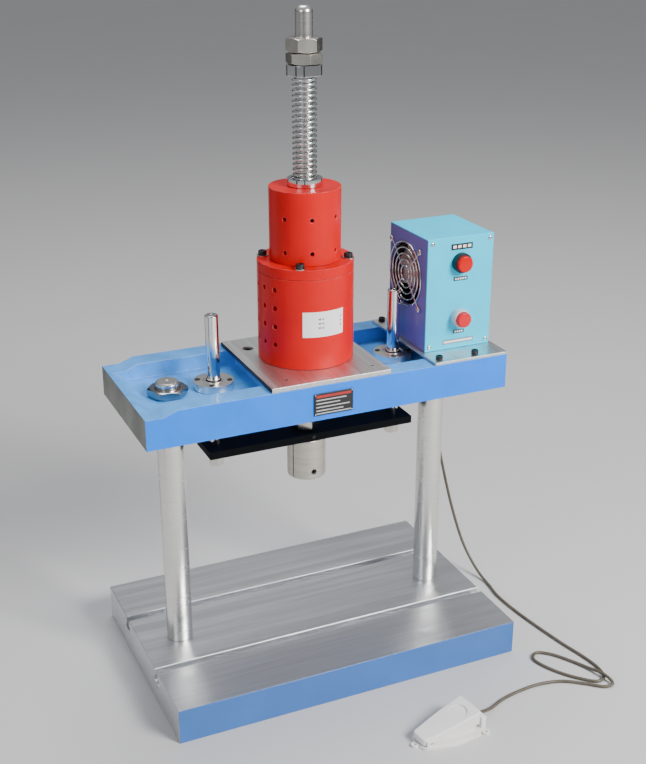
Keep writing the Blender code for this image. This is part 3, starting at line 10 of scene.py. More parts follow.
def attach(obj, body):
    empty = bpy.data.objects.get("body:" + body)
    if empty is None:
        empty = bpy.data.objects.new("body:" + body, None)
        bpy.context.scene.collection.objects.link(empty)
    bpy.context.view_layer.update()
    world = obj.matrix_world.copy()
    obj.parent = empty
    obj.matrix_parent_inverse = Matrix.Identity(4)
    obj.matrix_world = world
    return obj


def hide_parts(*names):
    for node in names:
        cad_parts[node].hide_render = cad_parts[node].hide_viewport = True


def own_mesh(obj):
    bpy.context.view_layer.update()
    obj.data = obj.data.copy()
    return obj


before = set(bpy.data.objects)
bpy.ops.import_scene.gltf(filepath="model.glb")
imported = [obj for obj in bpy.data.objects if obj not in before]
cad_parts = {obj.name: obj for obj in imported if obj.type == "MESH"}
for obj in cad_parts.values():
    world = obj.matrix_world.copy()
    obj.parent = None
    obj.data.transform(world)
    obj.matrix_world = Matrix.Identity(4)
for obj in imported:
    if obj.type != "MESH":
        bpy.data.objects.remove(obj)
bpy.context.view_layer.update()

MM = 0.001
GAP = 0.3
SIDES = 96


# ---------------------------------------------------------------- materials
def add(tree, kind, **values):
    node = tree.nodes.new(kind)
    for key, value in values.items():
        if hasattr(node, key):
            setattr(node, key, value)
        else:
            node.inputs[key.replace("_", " ").title()].default_value = value
    return node


def scaled(colour, k):
    return (*[min(1.0, max(0.0, c * k)) for c in colour], 1.0)


def finish(name, colour, roughness, metallic=0.0, spread=0.10, grain=45, grain_size=(1, 1, 1), bump=0.12,
           bump_scale=900, bump_size=(1, 1, 1), rough_spread=0.06, coat=0.0, wear_and_highlight=None, wear_and_highlight_width=0.9,
           glow=0.0, clear=0.0, shine=0.5):
    """A procedural finish: two-tone variation, uneven gloss, fine relief and, if asked, lighter edges that are
    partly worn and partly painted edge highlight.
    """
    mat = bpy.data.materials.new(name)
    mat.use_nodes = True
    tree = mat.node_tree
    link = tree.links.new
    shader = tree.nodes["Principled BSDF"]
    place = add(tree, "ShaderNodeTexCoord").outputs["Object"]

    def noise(scale, size, detail=4.0):
        mapping = add(tree, "ShaderNodeMapping")
        mapping.inputs["Scale"].default_value = size
        link(place, mapping.inputs["Vector"])
        node = add(tree, "ShaderNodeTexNoise")
        node.inputs["Scale"].default_value = scale
        node.inputs["Detail"].default_value = detail
        link(mapping.outputs["Vector"], node.inputs["Vector"])
        return node.outputs["Fac"]

    def spread_out(value, low, high, to_low, to_high):
        node = add(tree, "ShaderNodeMapRange")
        for key, v in zip(("From Min", "From Max", "To Min", "To Max"), (low, high, to_low, to_high)):
            node.inputs[key].default_value = v
        link(value, node.inputs["Value"])
        return node.outputs["Result"]

    def mix(factor, a, b):
        node = add(tree, "ShaderNodeMix", data_type="RGBA")
        link(factor, node.inputs["Factor"])
        for socket, v in ((node.inputs["A"], a), (node.inputs["B"], b)):
            if isinstance(v, bpy.types.NodeSocket):
                link(v, socket)
            else:
                socket.default_value = v
        return node.outputs["Result"]

    tone = spread_out(noise(grain, grain_size), 0.3, 0.7, 0.0, 1.0)
    colour_out = mix(tone, scaled(colour, 1 - spread), scaled(colour, 1 + spread))
    fine = noise(bump_scale, bump_size, 6.0)
    patches = noise(grain * 0.35, grain_size, 2.0)
    rough_out = spread_out(patches, 0.3, 0.7, max(0.02, roughness - rough_spread), roughness + rough_spread)
    # Lighter edges, patchy along their length: partly worn paint and metal, partly painted edge highlight.
    if wear_and_highlight:
        bevel = add(tree, "ShaderNodeBevel", samples=4)
        bevel.inputs["Radius"].default_value = wear_and_highlight_width * MM
        normal = add(tree, "ShaderNodeNewGeometry").outputs["Normal"]
        dot = add(tree, "ShaderNodeVectorMath", operation="DOT_PRODUCT")
        link(bevel.outputs["Normal"], dot.inputs[0])
        link(normal, dot.inputs[1])
        edge = spread_out(dot.outputs["Value"], 0.99, 0.86, 0.0, 1.0)
        patchiness = spread_out(noise(160, (1, 1, 1)), 0.36, 0.62, 0.0, 1.0)
        wear_and_highlight_mask = add(tree, "ShaderNodeMath", operation="MULTIPLY")
        link(edge, wear_and_highlight_mask.inputs[0])
        link(patchiness, wear_and_highlight_mask.inputs[1])
        colour_out = mix(wear_and_highlight_mask.outputs["Value"], colour_out, (*wear_and_highlight, 1.0))
    link(colour_out, shader.inputs["Base Color"])
    link(rough_out, shader.inputs["Roughness"])
    relief = add(tree, "ShaderNodeBump")
    relief.inputs["Strength"].default_value = bump
    relief.inputs["Distance"].default_value = 0.0002
    link(fine, relief.inputs["Height"])
    link(relief.outputs["Normal"], shader.inputs["Normal"])
    shader.inputs["Metallic"].default_value = metallic
    shader.inputs["Specular IOR Level"].default_value = shine
    if coat:
        shader.inputs["Coat Weight"].default_value = coat
        shader.inputs["Coat Roughness"].default_value = 0.12
    if clear:
        shader.inputs["Transmission Weight"].default_value = clear
    if glow:
        shader.inputs["Emission Color"].default_value = (*colour, 1.0)
        shader.inputs["Emission Strength"].default_value = glow
    return mat


STEEL = (0.60, 0.60, 0.58)
# The edge colours given below lighten each finish's edges: partly worn, partly painted edge highlight.
M = {
    "blue": finish("beam_paint", (0.004, 0.22, 1.0), 0.46, spread=0.07, grain=22, bump=0.22, bump_scale=420,
                   wear_and_highlight=(0.62, 0.66, 0.66), wear_and_highlight_width=0.8, shine=0.2),
    # The beam's blue paint made darker and greyer for the base plate: painted shade.
    "shaded_base_blue": finish("base_paint_shaded", (0.045, 0.165, 0.50), 0.38, spread=0.07, grain=18, bump=0.18,
                        bump_scale=420, coat=0.25, wear_and_highlight=(0.66, 0.72, 0.76), wear_and_highlight_width=0.8),
    "tray": finish("tray_paint", (0.08, 0.36, 0.86), 0.42, spread=0.14, grain=60, bump=0.45, bump_scale=380,
                   coat=0.2, wear_and_highlight=(0.72, 0.72, 0.68), wear_and_highlight_width=1.0),
    "box": finish("box_paint", (0.15, 0.14, 0.52), 0.36, spread=0.06, grain=20, bump=0.16, bump_scale=700,
                  coat=0.2, wear_and_highlight=(0.45, 0.50, 0.70), wear_and_highlight_width=0.6),
    "panel": finish("panel_paint", (0.0, 0.66, 1.0), 0.40, spread=0.05, grain=20, bump=0.14, bump_scale=700,
                    shine=0.25, wear_and_highlight=(0.75, 0.85, 0.9), wear_and_highlight_width=0.5),
    "red": finish("red_paint", (0.66, 0.0, 0.001), 0.34, spread=0.08, grain=16, bump=0.20, bump_scale=520,
                  wear_and_highlight=(0.85, 0.40, 0.38), wear_and_highlight_width=0.7, shine=0.3),
    "ground": finish("ground_steel", (0.74, 0.75, 0.77), 0.36, 1.0, spread=0.08, grain=1.0,
                     grain_size=(9, 260, 260), bump=0.30, bump_scale=1.0, bump_size=(30, 1500, 1500),
                     rough_spread=0.05, wear_and_highlight=(0.85, 0.85, 0.83), wear_and_highlight_width=0.7),
    "plate": finish("plate_steel", (0.70, 0.71, 0.70), 0.40, 1.0, spread=0.10, grain=1.0,
                    grain_size=(240, 9, 240), bump=0.30, bump_scale=1.0, bump_size=(1300, 30, 1300),
                    rough_spread=0.06, wear_and_highlight=(0.85, 0.85, 0.83), wear_and_highlight_width=0.6),
    # Near-black for the mounting plate's end faces: painted shade.
    "end_shade": finish("painted_end_shade", (0.035, 0.034, 0.045), 0.50, 0.6, spread=0.3, grain=60, bump=0.3, bump_scale=300),
    "raw": finish("raw_steel", (0.30, 0.31, 0.29), 0.50, 1.0, spread=0.28, grain=26, bump=0.35, bump_scale=300,
                  rough_spread=0.10, wear_and_highlight=(0.75, 0.75, 0.72), wear_and_highlight_width=0.8),
    "column": finish("column_steel", (0.78, 0.77, 0.74), 0.26, 1.0, spread=0.03, grain=1.0,
                     grain_size=(12, 12, 300), bump=0.08, bump_scale=1.0, bump_size=(20, 20, 2200),
                     rough_spread=0.03, wear_and_highlight=(0.85, 0.85, 0.83)),
    "turned": finish("turned_steel", (0.82, 0.80, 0.77), 0.30, 1.0, spread=0.05, grain=40, bump=0.10,
                     bump_scale=900, rough_spread=0.05, wear_and_highlight=(0.9, 0.88, 0.84), wear_and_highlight_width=0.5),
    "chrome": finish("hard_chrome", (0.80, 0.81, 0.82), 0.10, 1.0, spread=0.03, grain=30, bump=0.03,
                     bump_scale=900, rough_spread=0.03),
    "spring": finish("spring_steel", (0.72, 0.73, 0.72), 0.20, 1.0, spread=0.10, grain=80, bump=0.08,
                     bump_scale=700, rough_spread=0.06),
    "dark_zinc": finish("dark_chrome", (0.34, 0.34, 0.35), 0.16, 1.0, spread=0.10, grain=60, bump=0.08,
                        bump_scale=500, rough_spread=0.05, wear_and_highlight=(0.88, 0.86, 0.80), wear_and_highlight_width=0.6),
    "zinc": finish("zinc_plate", (0.64, 0.62, 0.56), 0.26, 1.0, spread=0.12, grain=60, bump=0.12,
                   bump_scale=500, rough_spread=0.08, wear_and_highlight=(0.88, 0.86, 0.80), wear_and_highlight_width=0.5),
    "holder": finish("holder_steel", (0.60, 0.57, 0.50), 0.36, 1.0, spread=0.10, grain=1.0,
                     grain_size=(30, 30, 420), bump=0.22, bump_scale=1.0, bump_size=(40, 40, 2000),
                     rough_spread=0.06, wear_and_highlight=(0.86, 0.83, 0.76), wear_and_highlight_width=0.7),
    "oxide": finish("black_oxide", (0.018, 0.018, 0.020), 0.38, 0.4, spread=0.25, grain=120, bump=0.10,
                    bump_scale=700, wear_and_highlight=(0.22, 0.22, 0.22), wear_and_highlight_width=0.4),
    "crosshead": finish("blackened_bar", (0.003, 0.004, 0.005), 0.60, 0.0, spread=0.30, grain=30, bump=0.25,
                        bump_scale=400, wear_and_highlight=(0.05, 0.055, 0.05), wear_and_highlight_width=0.8, shine=0.08),
    "black": finish("black_plastic", (0.014, 0.014, 0.016), 0.42, spread=0.25, grain=140, bump=0.12,
                    bump_scale=1100),
    # Fan blade grey, made lighter than the plastic itself: partly the blades' own grey, partly painted light for
    # the dim inside of the fan.
    "blade": finish("fan_blade_grey_with_painted_light", (0.46, 0.43, 0.42), 0.34, spread=0.12, grain=90, bump=0.08, bump_scale=900),
    "winding": finish("copper_winding", (0.48, 0.17, 0.06), 0.35, 0.9, spread=0.12, grain=1.0,
                      grain_size=(20, 20, 900), bump=0.6, bump_scale=1.0, bump_size=(10, 10, 1600)),
    "board": finish("circuit_board", (0.02, 0.12, 0.05), 0.45, spread=0.30, grain=300, bump=0.4,
                    bump_scale=260),
    "button": finish("button_plastic", (0.62, 0.0, 0.0), 0.18, spread=0.05, grain=60, bump=0.03,
                     bump_scale=600, shine=0.25),
    "lamp": finish("lamp_cap", (0.62, 0.01, 0.02), 0.22, spread=0.06, grain=90, bump=0.05, bump_scale=600,
                   glow=0.25, shine=0.3),
    "collar": finish("lamp_collar", (0.86, 0.90, 0.94), 0.14, spread=0.03, grain=60, bump=0.03,
                     bump_scale=600, coat=0.5, clear=0.35),
    "cream": finish("cream_plastic", (0.90, 0.88, 0.86), 0.40, spread=0.04, grain=35, bump=0.22,
                    bump_scale=1500, coat=0.1),
    "cable": finish("cable_sheath", (0.10, 0.085, 0.06), 0.46, spread=0.18, grain=120, bump=0.20,
                    bump_scale=800),
    "label": finish("label_black", (0.015, 0.015, 0.017), 0.30, spread=0.20, grain=60, bump=0.05,
                    bump_scale=900),
    "label_red": finish("label_red", (0.45, 0.02, 0.02), 0.32, spread=0.10, grain=60, bump=0.05,
                        bump_scale=900),
    "paper": finish("label_white", (0.97, 0.97, 0.97), 0.45, spread=0.03, grain=60, bump=0.10,
                    bump_scale=1200),
    "mark": finish("label_mark", (0.22, 0.22, 0.24), 0.45, spread=0.15, grain=300, bump=0.05,
                   bump_scale=900),
    "flag": finish("black_card", (0.01, 0.01, 0.01), 0.9, spread=0.1, grain=3, bump=0.05, bump_scale=60),
    "silver": finish("label_silver", (0.62, 0.62, 0.62), 0.35, 0.8, spread=0.08, grain=200, bump=0.05,
                     bump_scale=900),
}


# ---------------------------------------------------------------- shapes
def soften(points, radius, closed=True, steps=3):
    """Rounds a polygon's corners; on an open line the two ends stay as they are."""
    n = len(points)
    out = []
    for k, p in enumerate(points):
        if not closed and k in (0, n - 1):
            out.append(p)
            continue
        p, a, b = Vector(p), Vector(points[k - 1]), Vector(points[(k + 1) % n])
        la, lb = (a - p).length, (b - p).length
        r = min(radius, 0.45 * la, 0.45 * lb)
        turn = abs((p - a).normalized().cross((b - p).normalized())) if la and lb else 0
        if turn < 0.1 or r < 1e-6:
            out.append(tuple(p))
            continue
        p0, p1 = p + (a - p) * r / la, p + (b - p) * r / lb
        for s in range(steps + 1):
            t = s / steps
            out.append(tuple((1 - t) ** 2 * p0 + 2 * t * (1 - t) * p + t * t * p1))
    return out


def lathe(profile, sides=SIDES, closed=False, soft=0.0, phase=0.0):
    """Turns (radius, z) points about Z; a closed profile makes a ring, an open one starts and ends on the axis."""
    if soft:
        profile = soften(profile, soft, closed)
    bm = bmesh.new()
    rings = []
    for r, z in profile:
        if r < 1e-6:
            rings.append([bm.verts.new((0, 0, z))])
        else:
            turn = [2 * pi * k / sides + phase for k in range(sides)]
            rings.append([bm.verts.new((r * cos(a), r * sin(a), z)) for a in turn])
    pairs = list(zip(rings, rings[1:])) + ([(rings[-1], rings[0])] if closed else [])
    for low, high in pairs:
        for k in range(sides):
            face = [low[k % len(low)], low[(k + 1) % len(low)], high[(k + 1) % len(high)], high[k % len(high)]]
            face = list(dict.fromkeys(face))
            if len(face) > 2:
                bm.faces.new(face)
    bmesh.ops.recalc_face_normals(bm, faces=bm.faces[:])
    return bm


def prism(outline, z0, z1):
    low = z0 if callable(z0) else lambda x, y: z0
    high = z1 if callable(z1) else lambda x, y: z1
    bm = bmesh.new()
    bottom = [bm.verts.new((x, y, low(x, y))) for x, y in outline]
    top = [bm.verts.new((x, y, high(x, y))) for x, y in outline]
    bm.faces.new(bottom[::-1])
    bm.faces.new(top)
    for k in range(len(outline)):
        n = (k + 1) % len(outline)
        bm.faces.new((bottom[k], bottom[n], top[n], top[k]))
    bmesh.ops.recalc_face_normals(bm, faces=bm.faces[:])
    return bm


def side_prism(outline, y0, y1):
    """Extrudes an (x, z) outline along Y."""
    bm = prism([(x, z) for x, z in outline], -y1, -y0)
    bm.transform(Matrix.Rotation(radians(90), 4, "X"))
    return bm


def block(x0, x1, y0, y1, z0, z1, bevel=0.0, segments=3):
    bm = bmesh.new()
    place = Matrix.Translation(((x0 + x1) / 2, (y0 + y1) / 2, (z0 + z1) / 2))
    bmesh.ops.create_cube(bm, size=1, matrix=place @ Matrix.Diagonal((x1 - x0, y1 - y0, z1 - z0, 1)))
    if bevel:
        bmesh.ops.bevel(bm, geom=bm.edges[:], offset=bevel, segments=segments, profile=0.5, affect="EDGES")
    return bm


def rod(radius, start, end, sides=32, chamfer=0.0):
    """A cylinder from start to end; a positive chamfer bevels its two ends."""
    start, end = Vector(start), Vector(end)
    length, c = (end - start).length, abs(chamfer)
    if chamfer > 0:
        profile = [(0, 0), (radius - c, 0), (radius, c), (radius, length - c), (radius - c, length), (0, length)]
    else:
        profile = [(0, 0), (radius, 0), (radius, length), (0, length)]
    bm = lathe(profile, sides, phase=0.01)
    turn = Vector((0, 0, 1)).rotation_difference(end - start)
    bm.transform(Matrix.Translation(start) @ turn.to_matrix().to_4x4())
    return bm


def hexagon(flats, corner=0.0):
    r = flats / sqrt(3)
    return [(r * cos(radians(60 * k + corner)), r * sin(radians(60 * k + corner))) for k in range(6)]


def moved(bm, matrix):
    bm.transform(matrix)
    return bm


def merged(*parts):
    """Several shapes in one mesh, left as they are."""
    out = bmesh.new()
    for part in parts:
        mesh = bpy.data.meshes.new("part")
        part.to_mesh(mesh)
        part.free()
        out.from_mesh(mesh)
        bpy.data.meshes.remove(mesh)
    return out


def carve(bm, *tools, operation="DIFFERENCE"):
    """Cuts each tool out of the shape, or joins it on."""
    made = []
    for part in (bm, *tools):
        mesh = bpy.data.meshes.new("tool")
        bmesh.ops.recalc_face_normals(part, faces=part.faces[:])
        part.to_mesh(mesh)
        part.free()
        ob = bpy.data.objects.new("tool", mesh)
        bpy.context.scene.collection.objects.link(ob)
        made.append(ob)
    for tool in made[1:]:
        mod = made[0].modifiers.new("carve", "BOOLEAN")
        mod.operation, mod.solver, mod.object = operation, "EXACT", tool
    graph = bpy.context.evaluated_depsgraph_get()
    result = bpy.data.meshes.new_from_object(made[0].evaluated_get(graph))
    out = bmesh.new()
    out.from_mesh(result)
    bpy.data.meshes.remove(result)
    for ob in made:
        mesh = ob.data
        bpy.data.objects.remove(ob, do_unlink=True)
        bpy.data.meshes.remove(mesh)
    return out


def piece(name, bm, mats, body="frame", replaces=(), bevel=0.0, paint=None, smooth=32, slot=None):
    """Turns a shape in millimetres into a piece that rides on a body and stands for CAD nodes."""
    mats = mats if isinstance(mats, (list, tuple)) else [mats]
    bmesh.ops.remove_doubles(bm, verts=bm.verts[:], dist=0.002)
    bmesh.ops.recalc_face_normals(bm, faces=bm.faces[:])
    if paint:
        for face in bm.faces:
            face.material_index = paint(face.calc_center_median(), face.normal)
    bm.transform(Matrix.Scale(MM, 4))
    mesh = bpy.data.meshes.new(name)
    bm.to_mesh(mesh)
    bm.free()
    for key in mats:
        mesh.materials.append(M[key])
    mesh.shade_smooth()
    mesh.set_sharp_from_angle(angle=radians(smooth))
    ob = bpy.data.objects.new(name, mesh)
    bpy.context.scene.collection.objects.link(ob)
    if bevel:
        mod = ob.modifiers.new("edges", "BEVEL")
        mod.width, mod.segments, mod.limit_method = bevel * MM, 2, "ANGLE"
        mod.angle_limit = radians(35)
        mod.harden_normals = False
    mod = ob.modifiers.new("normals", "WEIGHTED_NORMAL")
    mod.keep_sharp = True
    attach(ob, body)
    if replaces:
        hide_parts(*([replaces] if isinstance(replaces, str) else replaces))
    return ob


def around(radius, degrees, x=0.0, y=0.0):
    """A point on a circle, its angle counted from -Y towards -X."""
    a = radians(degrees)
    return x - radius * sin(a), y - radius * cos(a)


def at(x, y, z=0.0):
    return Matrix.Translation((x, y, z))


def nut(name, flats, z0, height, bore, corner, mat, body, replaces, x=0.0):
    r = flats / sqrt(3)
    c = (r - flats / 2) * 0.8
    cone = lathe([(0, 0), (flats * 0.478, 0), (r + 0.5, c), (r + 0.5, height - c), (flats * 0.478, height),
                  (0, height)])
    bm = carve(prism(hexagon(flats, corner), 0, height), cone, operation="INTERSECT")
    hole = lathe([(0, -1), (bore + 1.2, -1), (bore + 1.2, 0), (bore, 1.2), (bore, height - 1.2),
                  (bore + 1.2, height), (bore + 1.2, height + 1), (0, height + 1)], 64)
    bm = carve(bm, hole)
    return piece(name, moved(bm, at(x, 0, z0)), mat, body, replaces, bevel=0.22, slot="zinc_plate")


def cap_screw(name, thread, head, height, length, place, replaces=(), body="frame"):
    """Socket cap screw: bevelled head with a ring of knurls, deep hexagon socket."""
    r, c = head / 2, 0.5
    bm = lathe([(0, -length), (thread / 2, -length), (thread / 2, 0), (r, 0), (r, height - c), (r - c, height),
                (0, height)], 48, soft=0.25)
    teeth = [block(r - 0.16, r + 1, -0.14, 0.14, 0.9, height - 0.9) for k in range(24)]
    for k, tooth in enumerate(teeth):
        tooth.transform(Matrix.Rotation(2 * pi * (k + 0.5) / 24, 4, "Z"))
    bm = carve(bm, merged(*teeth), prism(hexagon(thread * 0.83), height * 0.42, height + 1))
    return piece(name, moved(bm, at(*place)), "oxide", body, replaces, slot="black_oxide")


def cross_screw(name, radius, height, place, turn, body="frame"):
    """Chromed pan head with a cross recess, its axis along the turned +Z."""
    dome = [(radius * cos(a), height * (0.25 + 0.75 * sin(a))) for a in [radians(v) for v in range(0, 90, 15)]]
    bm = lathe([(0, 0), (radius, 0), *dome, (0, height)], 36)
    slots = [block(-radius * 0.6, radius * 0.6, -0.35, 0.35, height * 0.35, height + 1) for _ in range(2)]
    slots[1].transform(Matrix.Rotation(radians(90), 4, "Z"))
    bm = carve(bm, *slots)
    return piece(name, moved(bm, at(*place) @ turn), "chrome", body, slot="bright_steel")


# ---------------------------------------------------------------- base and columns
def build_base():
    base = block(-225, 225, -148, 148, 0, 45, bevel=1.0)
    tools = []
    for y in (-62, 62):
        tee = [(-9, 28), (9, 28), (9, 36), (5, 36), (5, 44.3), (5.8, 45), (5.8, 46), (-5.8, 46), (-5.8, 45),
               (-5, 44.3), (-5, 36), (-9, 36)]
        slot = prism([(p, q) for p, q in tee], -232, 232)
        slot.transform(Matrix.Rotation(radians(90), 4, "Y") @ Matrix.Rotation(radians(90), 4, "Z"))
        tools.append(moved(slot, at(0, y)))
    for x in (-174.5, 174.5):
        tools.append(moved(lathe([(0, -1), (9.6, -1), (9.6, 9.2), (6.3, 9.2), (6.3, 15), (12.3, 15), (12.3, 46),
                                  (0, 46)], 64), at(x, 0)))
    base = carve(base, *tools)
    # The base's front and rear faces take the darker blue: painted shade on the same paint as the beam.
    piece("base", base, ["ground", "shaded_base_blue"], replaces="base_plate", slot="blue_paint",
          paint=lambda c, n: 1 if abs(c.y) > 147.2 and abs(n.y) > 0.5 else 0)
    for tag, x in (("left", -174.5), ("right", 174.5)):
        stem = lathe([(6.3, 15.3), (12, 15.3), (12, 45.3), (16, 45.3), (16, 348.1), (14, 348.1), (14, 388.6),
                      (12.3, 390.3), (2.5, 390.3), (0, 388.4), (0, 37), (6.3, 37)], closed=False, soft=0.5)
        piece(f"{tag}_column_body", moved(stem, at(x, 0)), "column", replaces=f"{tag}_column",
              slot="ground_steel")
        nut(f"{tag}_column_hex", 42, 373.3, 10, 14.3, 50, "dark_zinc", "frame", f"{tag}_column_nut", x)
        cap_low = Matrix.Translation((x, 0, 8.9)) @ Matrix.Rotation(pi, 4, "X")
        screw = lathe([(0, -25), (6, -25), (6, 0), (9, 0), (9, 7.6), (8.2, 8.3), (0, 8.3)], 48, soft=0.3)
        screw = carve(screw, prism(hexagon(10), 3.5, 9))
        piece(f"{tag}_foot_screw", moved(screw, cap_low), "oxide", replaces=f"{tag}_column_screw",
              slot="black_oxide")


# ---------------------------------------------------------------- beam
def build_beam():
    beam = block(-228, 228, -89.7, 89.7, 348.4, 391.5)
    low = [(-229, 385), (-207, 385), (-190, 391.5), (-164, 401.5), (-229, 401.5)]
    left = [(-223, 385), (-203, 373), (-68, 373), (-68, 401), (-223, 401)]
    tools = [side_prism(low, -91, 91), side_prism(left, -62, 62)]
    for x0, x1 in ((-48, 48), (68, 205)):
        pocket = soften([(x0, -62), (x1, -62), (x1, 62), (x0, 62)], 5, steps=5)
        tools.append(prism(pocket, 373, 401))
    for x, r in ((0, 13), (-118, 14.3), (118, 14.3), (-174.5, 14.3), (174.5, 14.3)):
        tools.append(rod(r, (x, 0, 347), (x, 0, 393), 64))
    for x in (-58, 58):
        tools.append(rod(4.3, (x, 43, 373.6), (x, 43, 393)))
    for x in (139, 188):
        for y in (-80, 72.3):
            tools.append(rod(2.8, (x, y, 380), (x, y, 393), 24))
    beam = carve(beam, *tools)

    def paint(c, n):
        if abs(n.x) > 0.8 and abs(c.x) > 227:
            return 2
        if n.z > 0.3 or (c.z > 373 and abs(c.y) < 63):
            return 1
        return 0

    piece("beam_body", beam, ["blue", "tray", "raw"], replaces="beam", bevel=0.8, paint=paint, slot="blue_paint")
    plate = block(-29, 20, -91.2, -90, 355.4, 382.4, bevel=0.3)
    piece("data_plate", plate, "label", replaces="nameplate", slot="nameplate")
    marks = [(-26.5, 17.5, 377.2, 380.2, 2)]
    marks += [(-26.5, -26.5 + w, 373.6 - 4.3 * k, 375.0 - 4.3 * k, 0)
              for k, w in enumerate((38, 30, 42, 34))]
    marks += [(-26.5, 17.5, 357.0, 358.4, 0)]
    for k, (x0, x1, z0, z1, kind) in enumerate(marks):
        piece(f"data_plate_mark_{k + 1}", block(x0, x1, -91.32, -91.15, z0, z1, bevel=0.05, segments=1),
              "label_red" if kind else "silver", slot="nameplate")
    for k, (x, z) in enumerate(((-27.6, 381), (18.6, 381), (-27.6, 356.8), (18.6, 356.8))):
        dome = lathe([(0, 0), (0.75, 0), (0.7, 0.2), (0.4, 0.4), (0, 0.5)], 20)
        turn = Matrix.Translation((x, -91.1, z)) @ Matrix.Rotation(radians(90), 4, "X")
        piece(f"data_plate_rivet_{k + 1}", moved(dome, turn), "silver", slot="nameplate")


# ---------------------------------------------------------------- mounting plate and solenoid
def build_plate():
    plate = block(-80, 70, -89.7, 79, 391.8, 397.3, bevel=0.5)
    tools = [rod(13, (0, 0, 391), (0, 0, 398), 64)]
    for x in (-58, 58):
        tools.append(moved(lathe([(0, -7), (4.3, -7), (4.3, -3.5), (6.8, -1), (6.8, 1), (0, 1)], 48),
                           at(x, 43, 397.3)))
    for x in (-54.5, 54.5):
        tools.append(rod(2.2, (x, -70, 391), (x, -70, 398), 32))
    # The plate's two end faces take the near-black colour: painted shade, not the steel's own colour.
    piece("plate", carve(plate, *tools), ["plate", "end_shade"], replaces="mounting_plate", slot="ground_steel",
          paint=lambda c, n: 1 if abs(n.x) > 0.7 and (c.x < -79 or c.x > 69) else 0)
    for tag, x in (("left", -58), ("right", 58)):
        screw = lathe([(0, -22), (4, -22), (4, -3.8), (6.5, -1.35), (6.3, -1.25), (0, -1.25)], 48, soft=0.15)
        screw = carve(screw, prism(hexagon(5), -4, 0))
        piece(f"countersunk_{tag}", moved(screw, at(x, 43, 397.3)), "oxide", replaces=f"plate_screw_{tag}",
              slot="black_oxide")
        pin = lathe([(0, -5), (2, -5), (2, -0.9), (1.6, -0.5), (0, -0.5)], 32)
        piece(f"dowel_{tag}", moved(pin, at(-54.5 if x < 0 else 54.5, -70, 397.3)), "oxide",
              slot="black_oxide")


def build_solenoid():
    z0, z1 = 397.6, 505.3
    shell = lathe([(45, z0), (57, z0), (57, z1), (45, z1)], 144, closed=True, soft=0.9)
    tools = []
    for flip in (1, -1):
        for angle in (62, 80, 98):
            for row in range(4):
                z = z0 + 26.7 + 22.2 * row
                a, b = around(43, flip * angle), around(58, flip * angle)
                tools.append(rod(2.8, (*a, z), (*b, z), 28))
    flares = []
    for flip in (1, -1):
        for angle in (62, 80, 98):
            for row in range(4):
                z = z0 + 26.7 + 22.2 * row
                a, b = Vector((*around(55.9, flip * angle), z)), Vector((*around(57.6, flip * angle), z))
                cone = lathe([(0, 0), (2.6, 0), (3.9, 1.7), (0, 1.7)], 28)
                cone.transform(Matrix.Translation(a) @ (b - a).to_track_quat("Z", "Y").to_matrix().to_4x4())
                flares.append(cone)
    for k, angle in enumerate((30, 120, 210, 300)):
        x, y = around(50.5, angle)
        tools.append(rod(3.3, (x, y, 493), (x, y, 506)))
    piece("coil_shell", carve(shell, merged(*tools), merged(*flares)), "red", replaces="coil_housing",
          slot="red_paint")
    cover = lathe([(30, 505.6), (57, 505.6), (57, 517.8), (30, 517.8)], 144, closed=True, soft=1.1)
    holes = [rod(3.3, (*around(50.5, a), 500), (*around(50.5, a), 519)) for a in (30, 120, 210, 300)]
    piece("coil_lid", carve(cover, merged(*holes)), "red", replaces="coil_cover", slot="red_paint")
    for k, angle in enumerate((30, 120, 210, 300), 1):
        x, y = around(50.5, angle)
        cap_screw(f"lid_screw_{k}", 6, 10, 6, 22, (x, y, 518.1), f"cover_screw_{k}")
        washer = lathe([(5.15, 0), (6.9, 0), (6.9, 1.1), (5.15, 1.1)], 40, closed=True, soft=0.25)
        piece(f"lid_washer_{k}", moved(washer, at(x, y, 517.85)), "zinc", slot="zinc_plate")
    top = lathe([(36, 518.1), (42, 518.1), (42, 602.6), (10.4, 602.6), (10.4, 594.6), (36, 594.6)], 144,
                closed=True, soft=0.9)
    vents, flares = [], []
    for rise in (14, 53):
        for k in range(8):
            angle, z = 12 + 45 * k, 518.1 + rise
            vents.append(rod(2.4, (*around(34, angle), z), (*around(43, angle), z), 28))
            a, b = Vector((*around(41.0, angle), z)), Vector((*around(42.6, angle), z))
            cone = lathe([(0, 0), (2.2, 0), (3.3, 1.6), (0, 1.6)], 28)
            cone.transform(Matrix.Translation(a) @ (b - a).to_track_quat("Z", "Y").to_matrix().to_4x4())
            flares.append(cone)
    piece("plunger_shell", carve(top, merged(*vents), merged(*flares)), "red", replaces="armature_housing",
          slot="red_paint")
    ring = lathe([(10.4, 602.9), (20.5, 602.9), (20.5, 611.7), (15.5, 611.7), (15.5, 607.2), (10.4, 607.2)],
                 closed=True, soft=0.7)
    piece("spring_cup", ring, "chrome", replaces="spring_collar", slot="bright_steel")
    patch(57.12, -25.6, 26.8, 437.5, 468, "coil_label", "paper")
    for k in range(9):
        a = (6.5, 2.5, -21.5)[k % 3]
        z = 458 - 5.2 * (k // 3)
        width = (3.4, 2.0, 2.0)[k % 3]
        patch(57.22, a - width / 2, a + width / 2, z, z + 2.0, f"coil_label_mark_{k + 1}", "mark")
    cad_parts["coil_winding"].data.materials[0] = M["winding"]
    for node in ("pole_piece", "plunger"):
        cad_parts[node].data.materials[0] = M["column"]


def patch(radius, az0, az1, z0, z1, name, mat):
    """A thin sticker bent round the solenoid, between two angles."""
    steps = max(2, int(abs(az1 - az0) / 2.0))
    angles = [az0 + (az1 - az0) * k / steps for k in range(steps + 1)]
    outer = [around(radius, a) for a in angles]
    inner = [around(radius - 0.09, a) for a in reversed(angles)]
    piece(name, prism(outer + inner, z0, z1), mat, slot="red_paint")


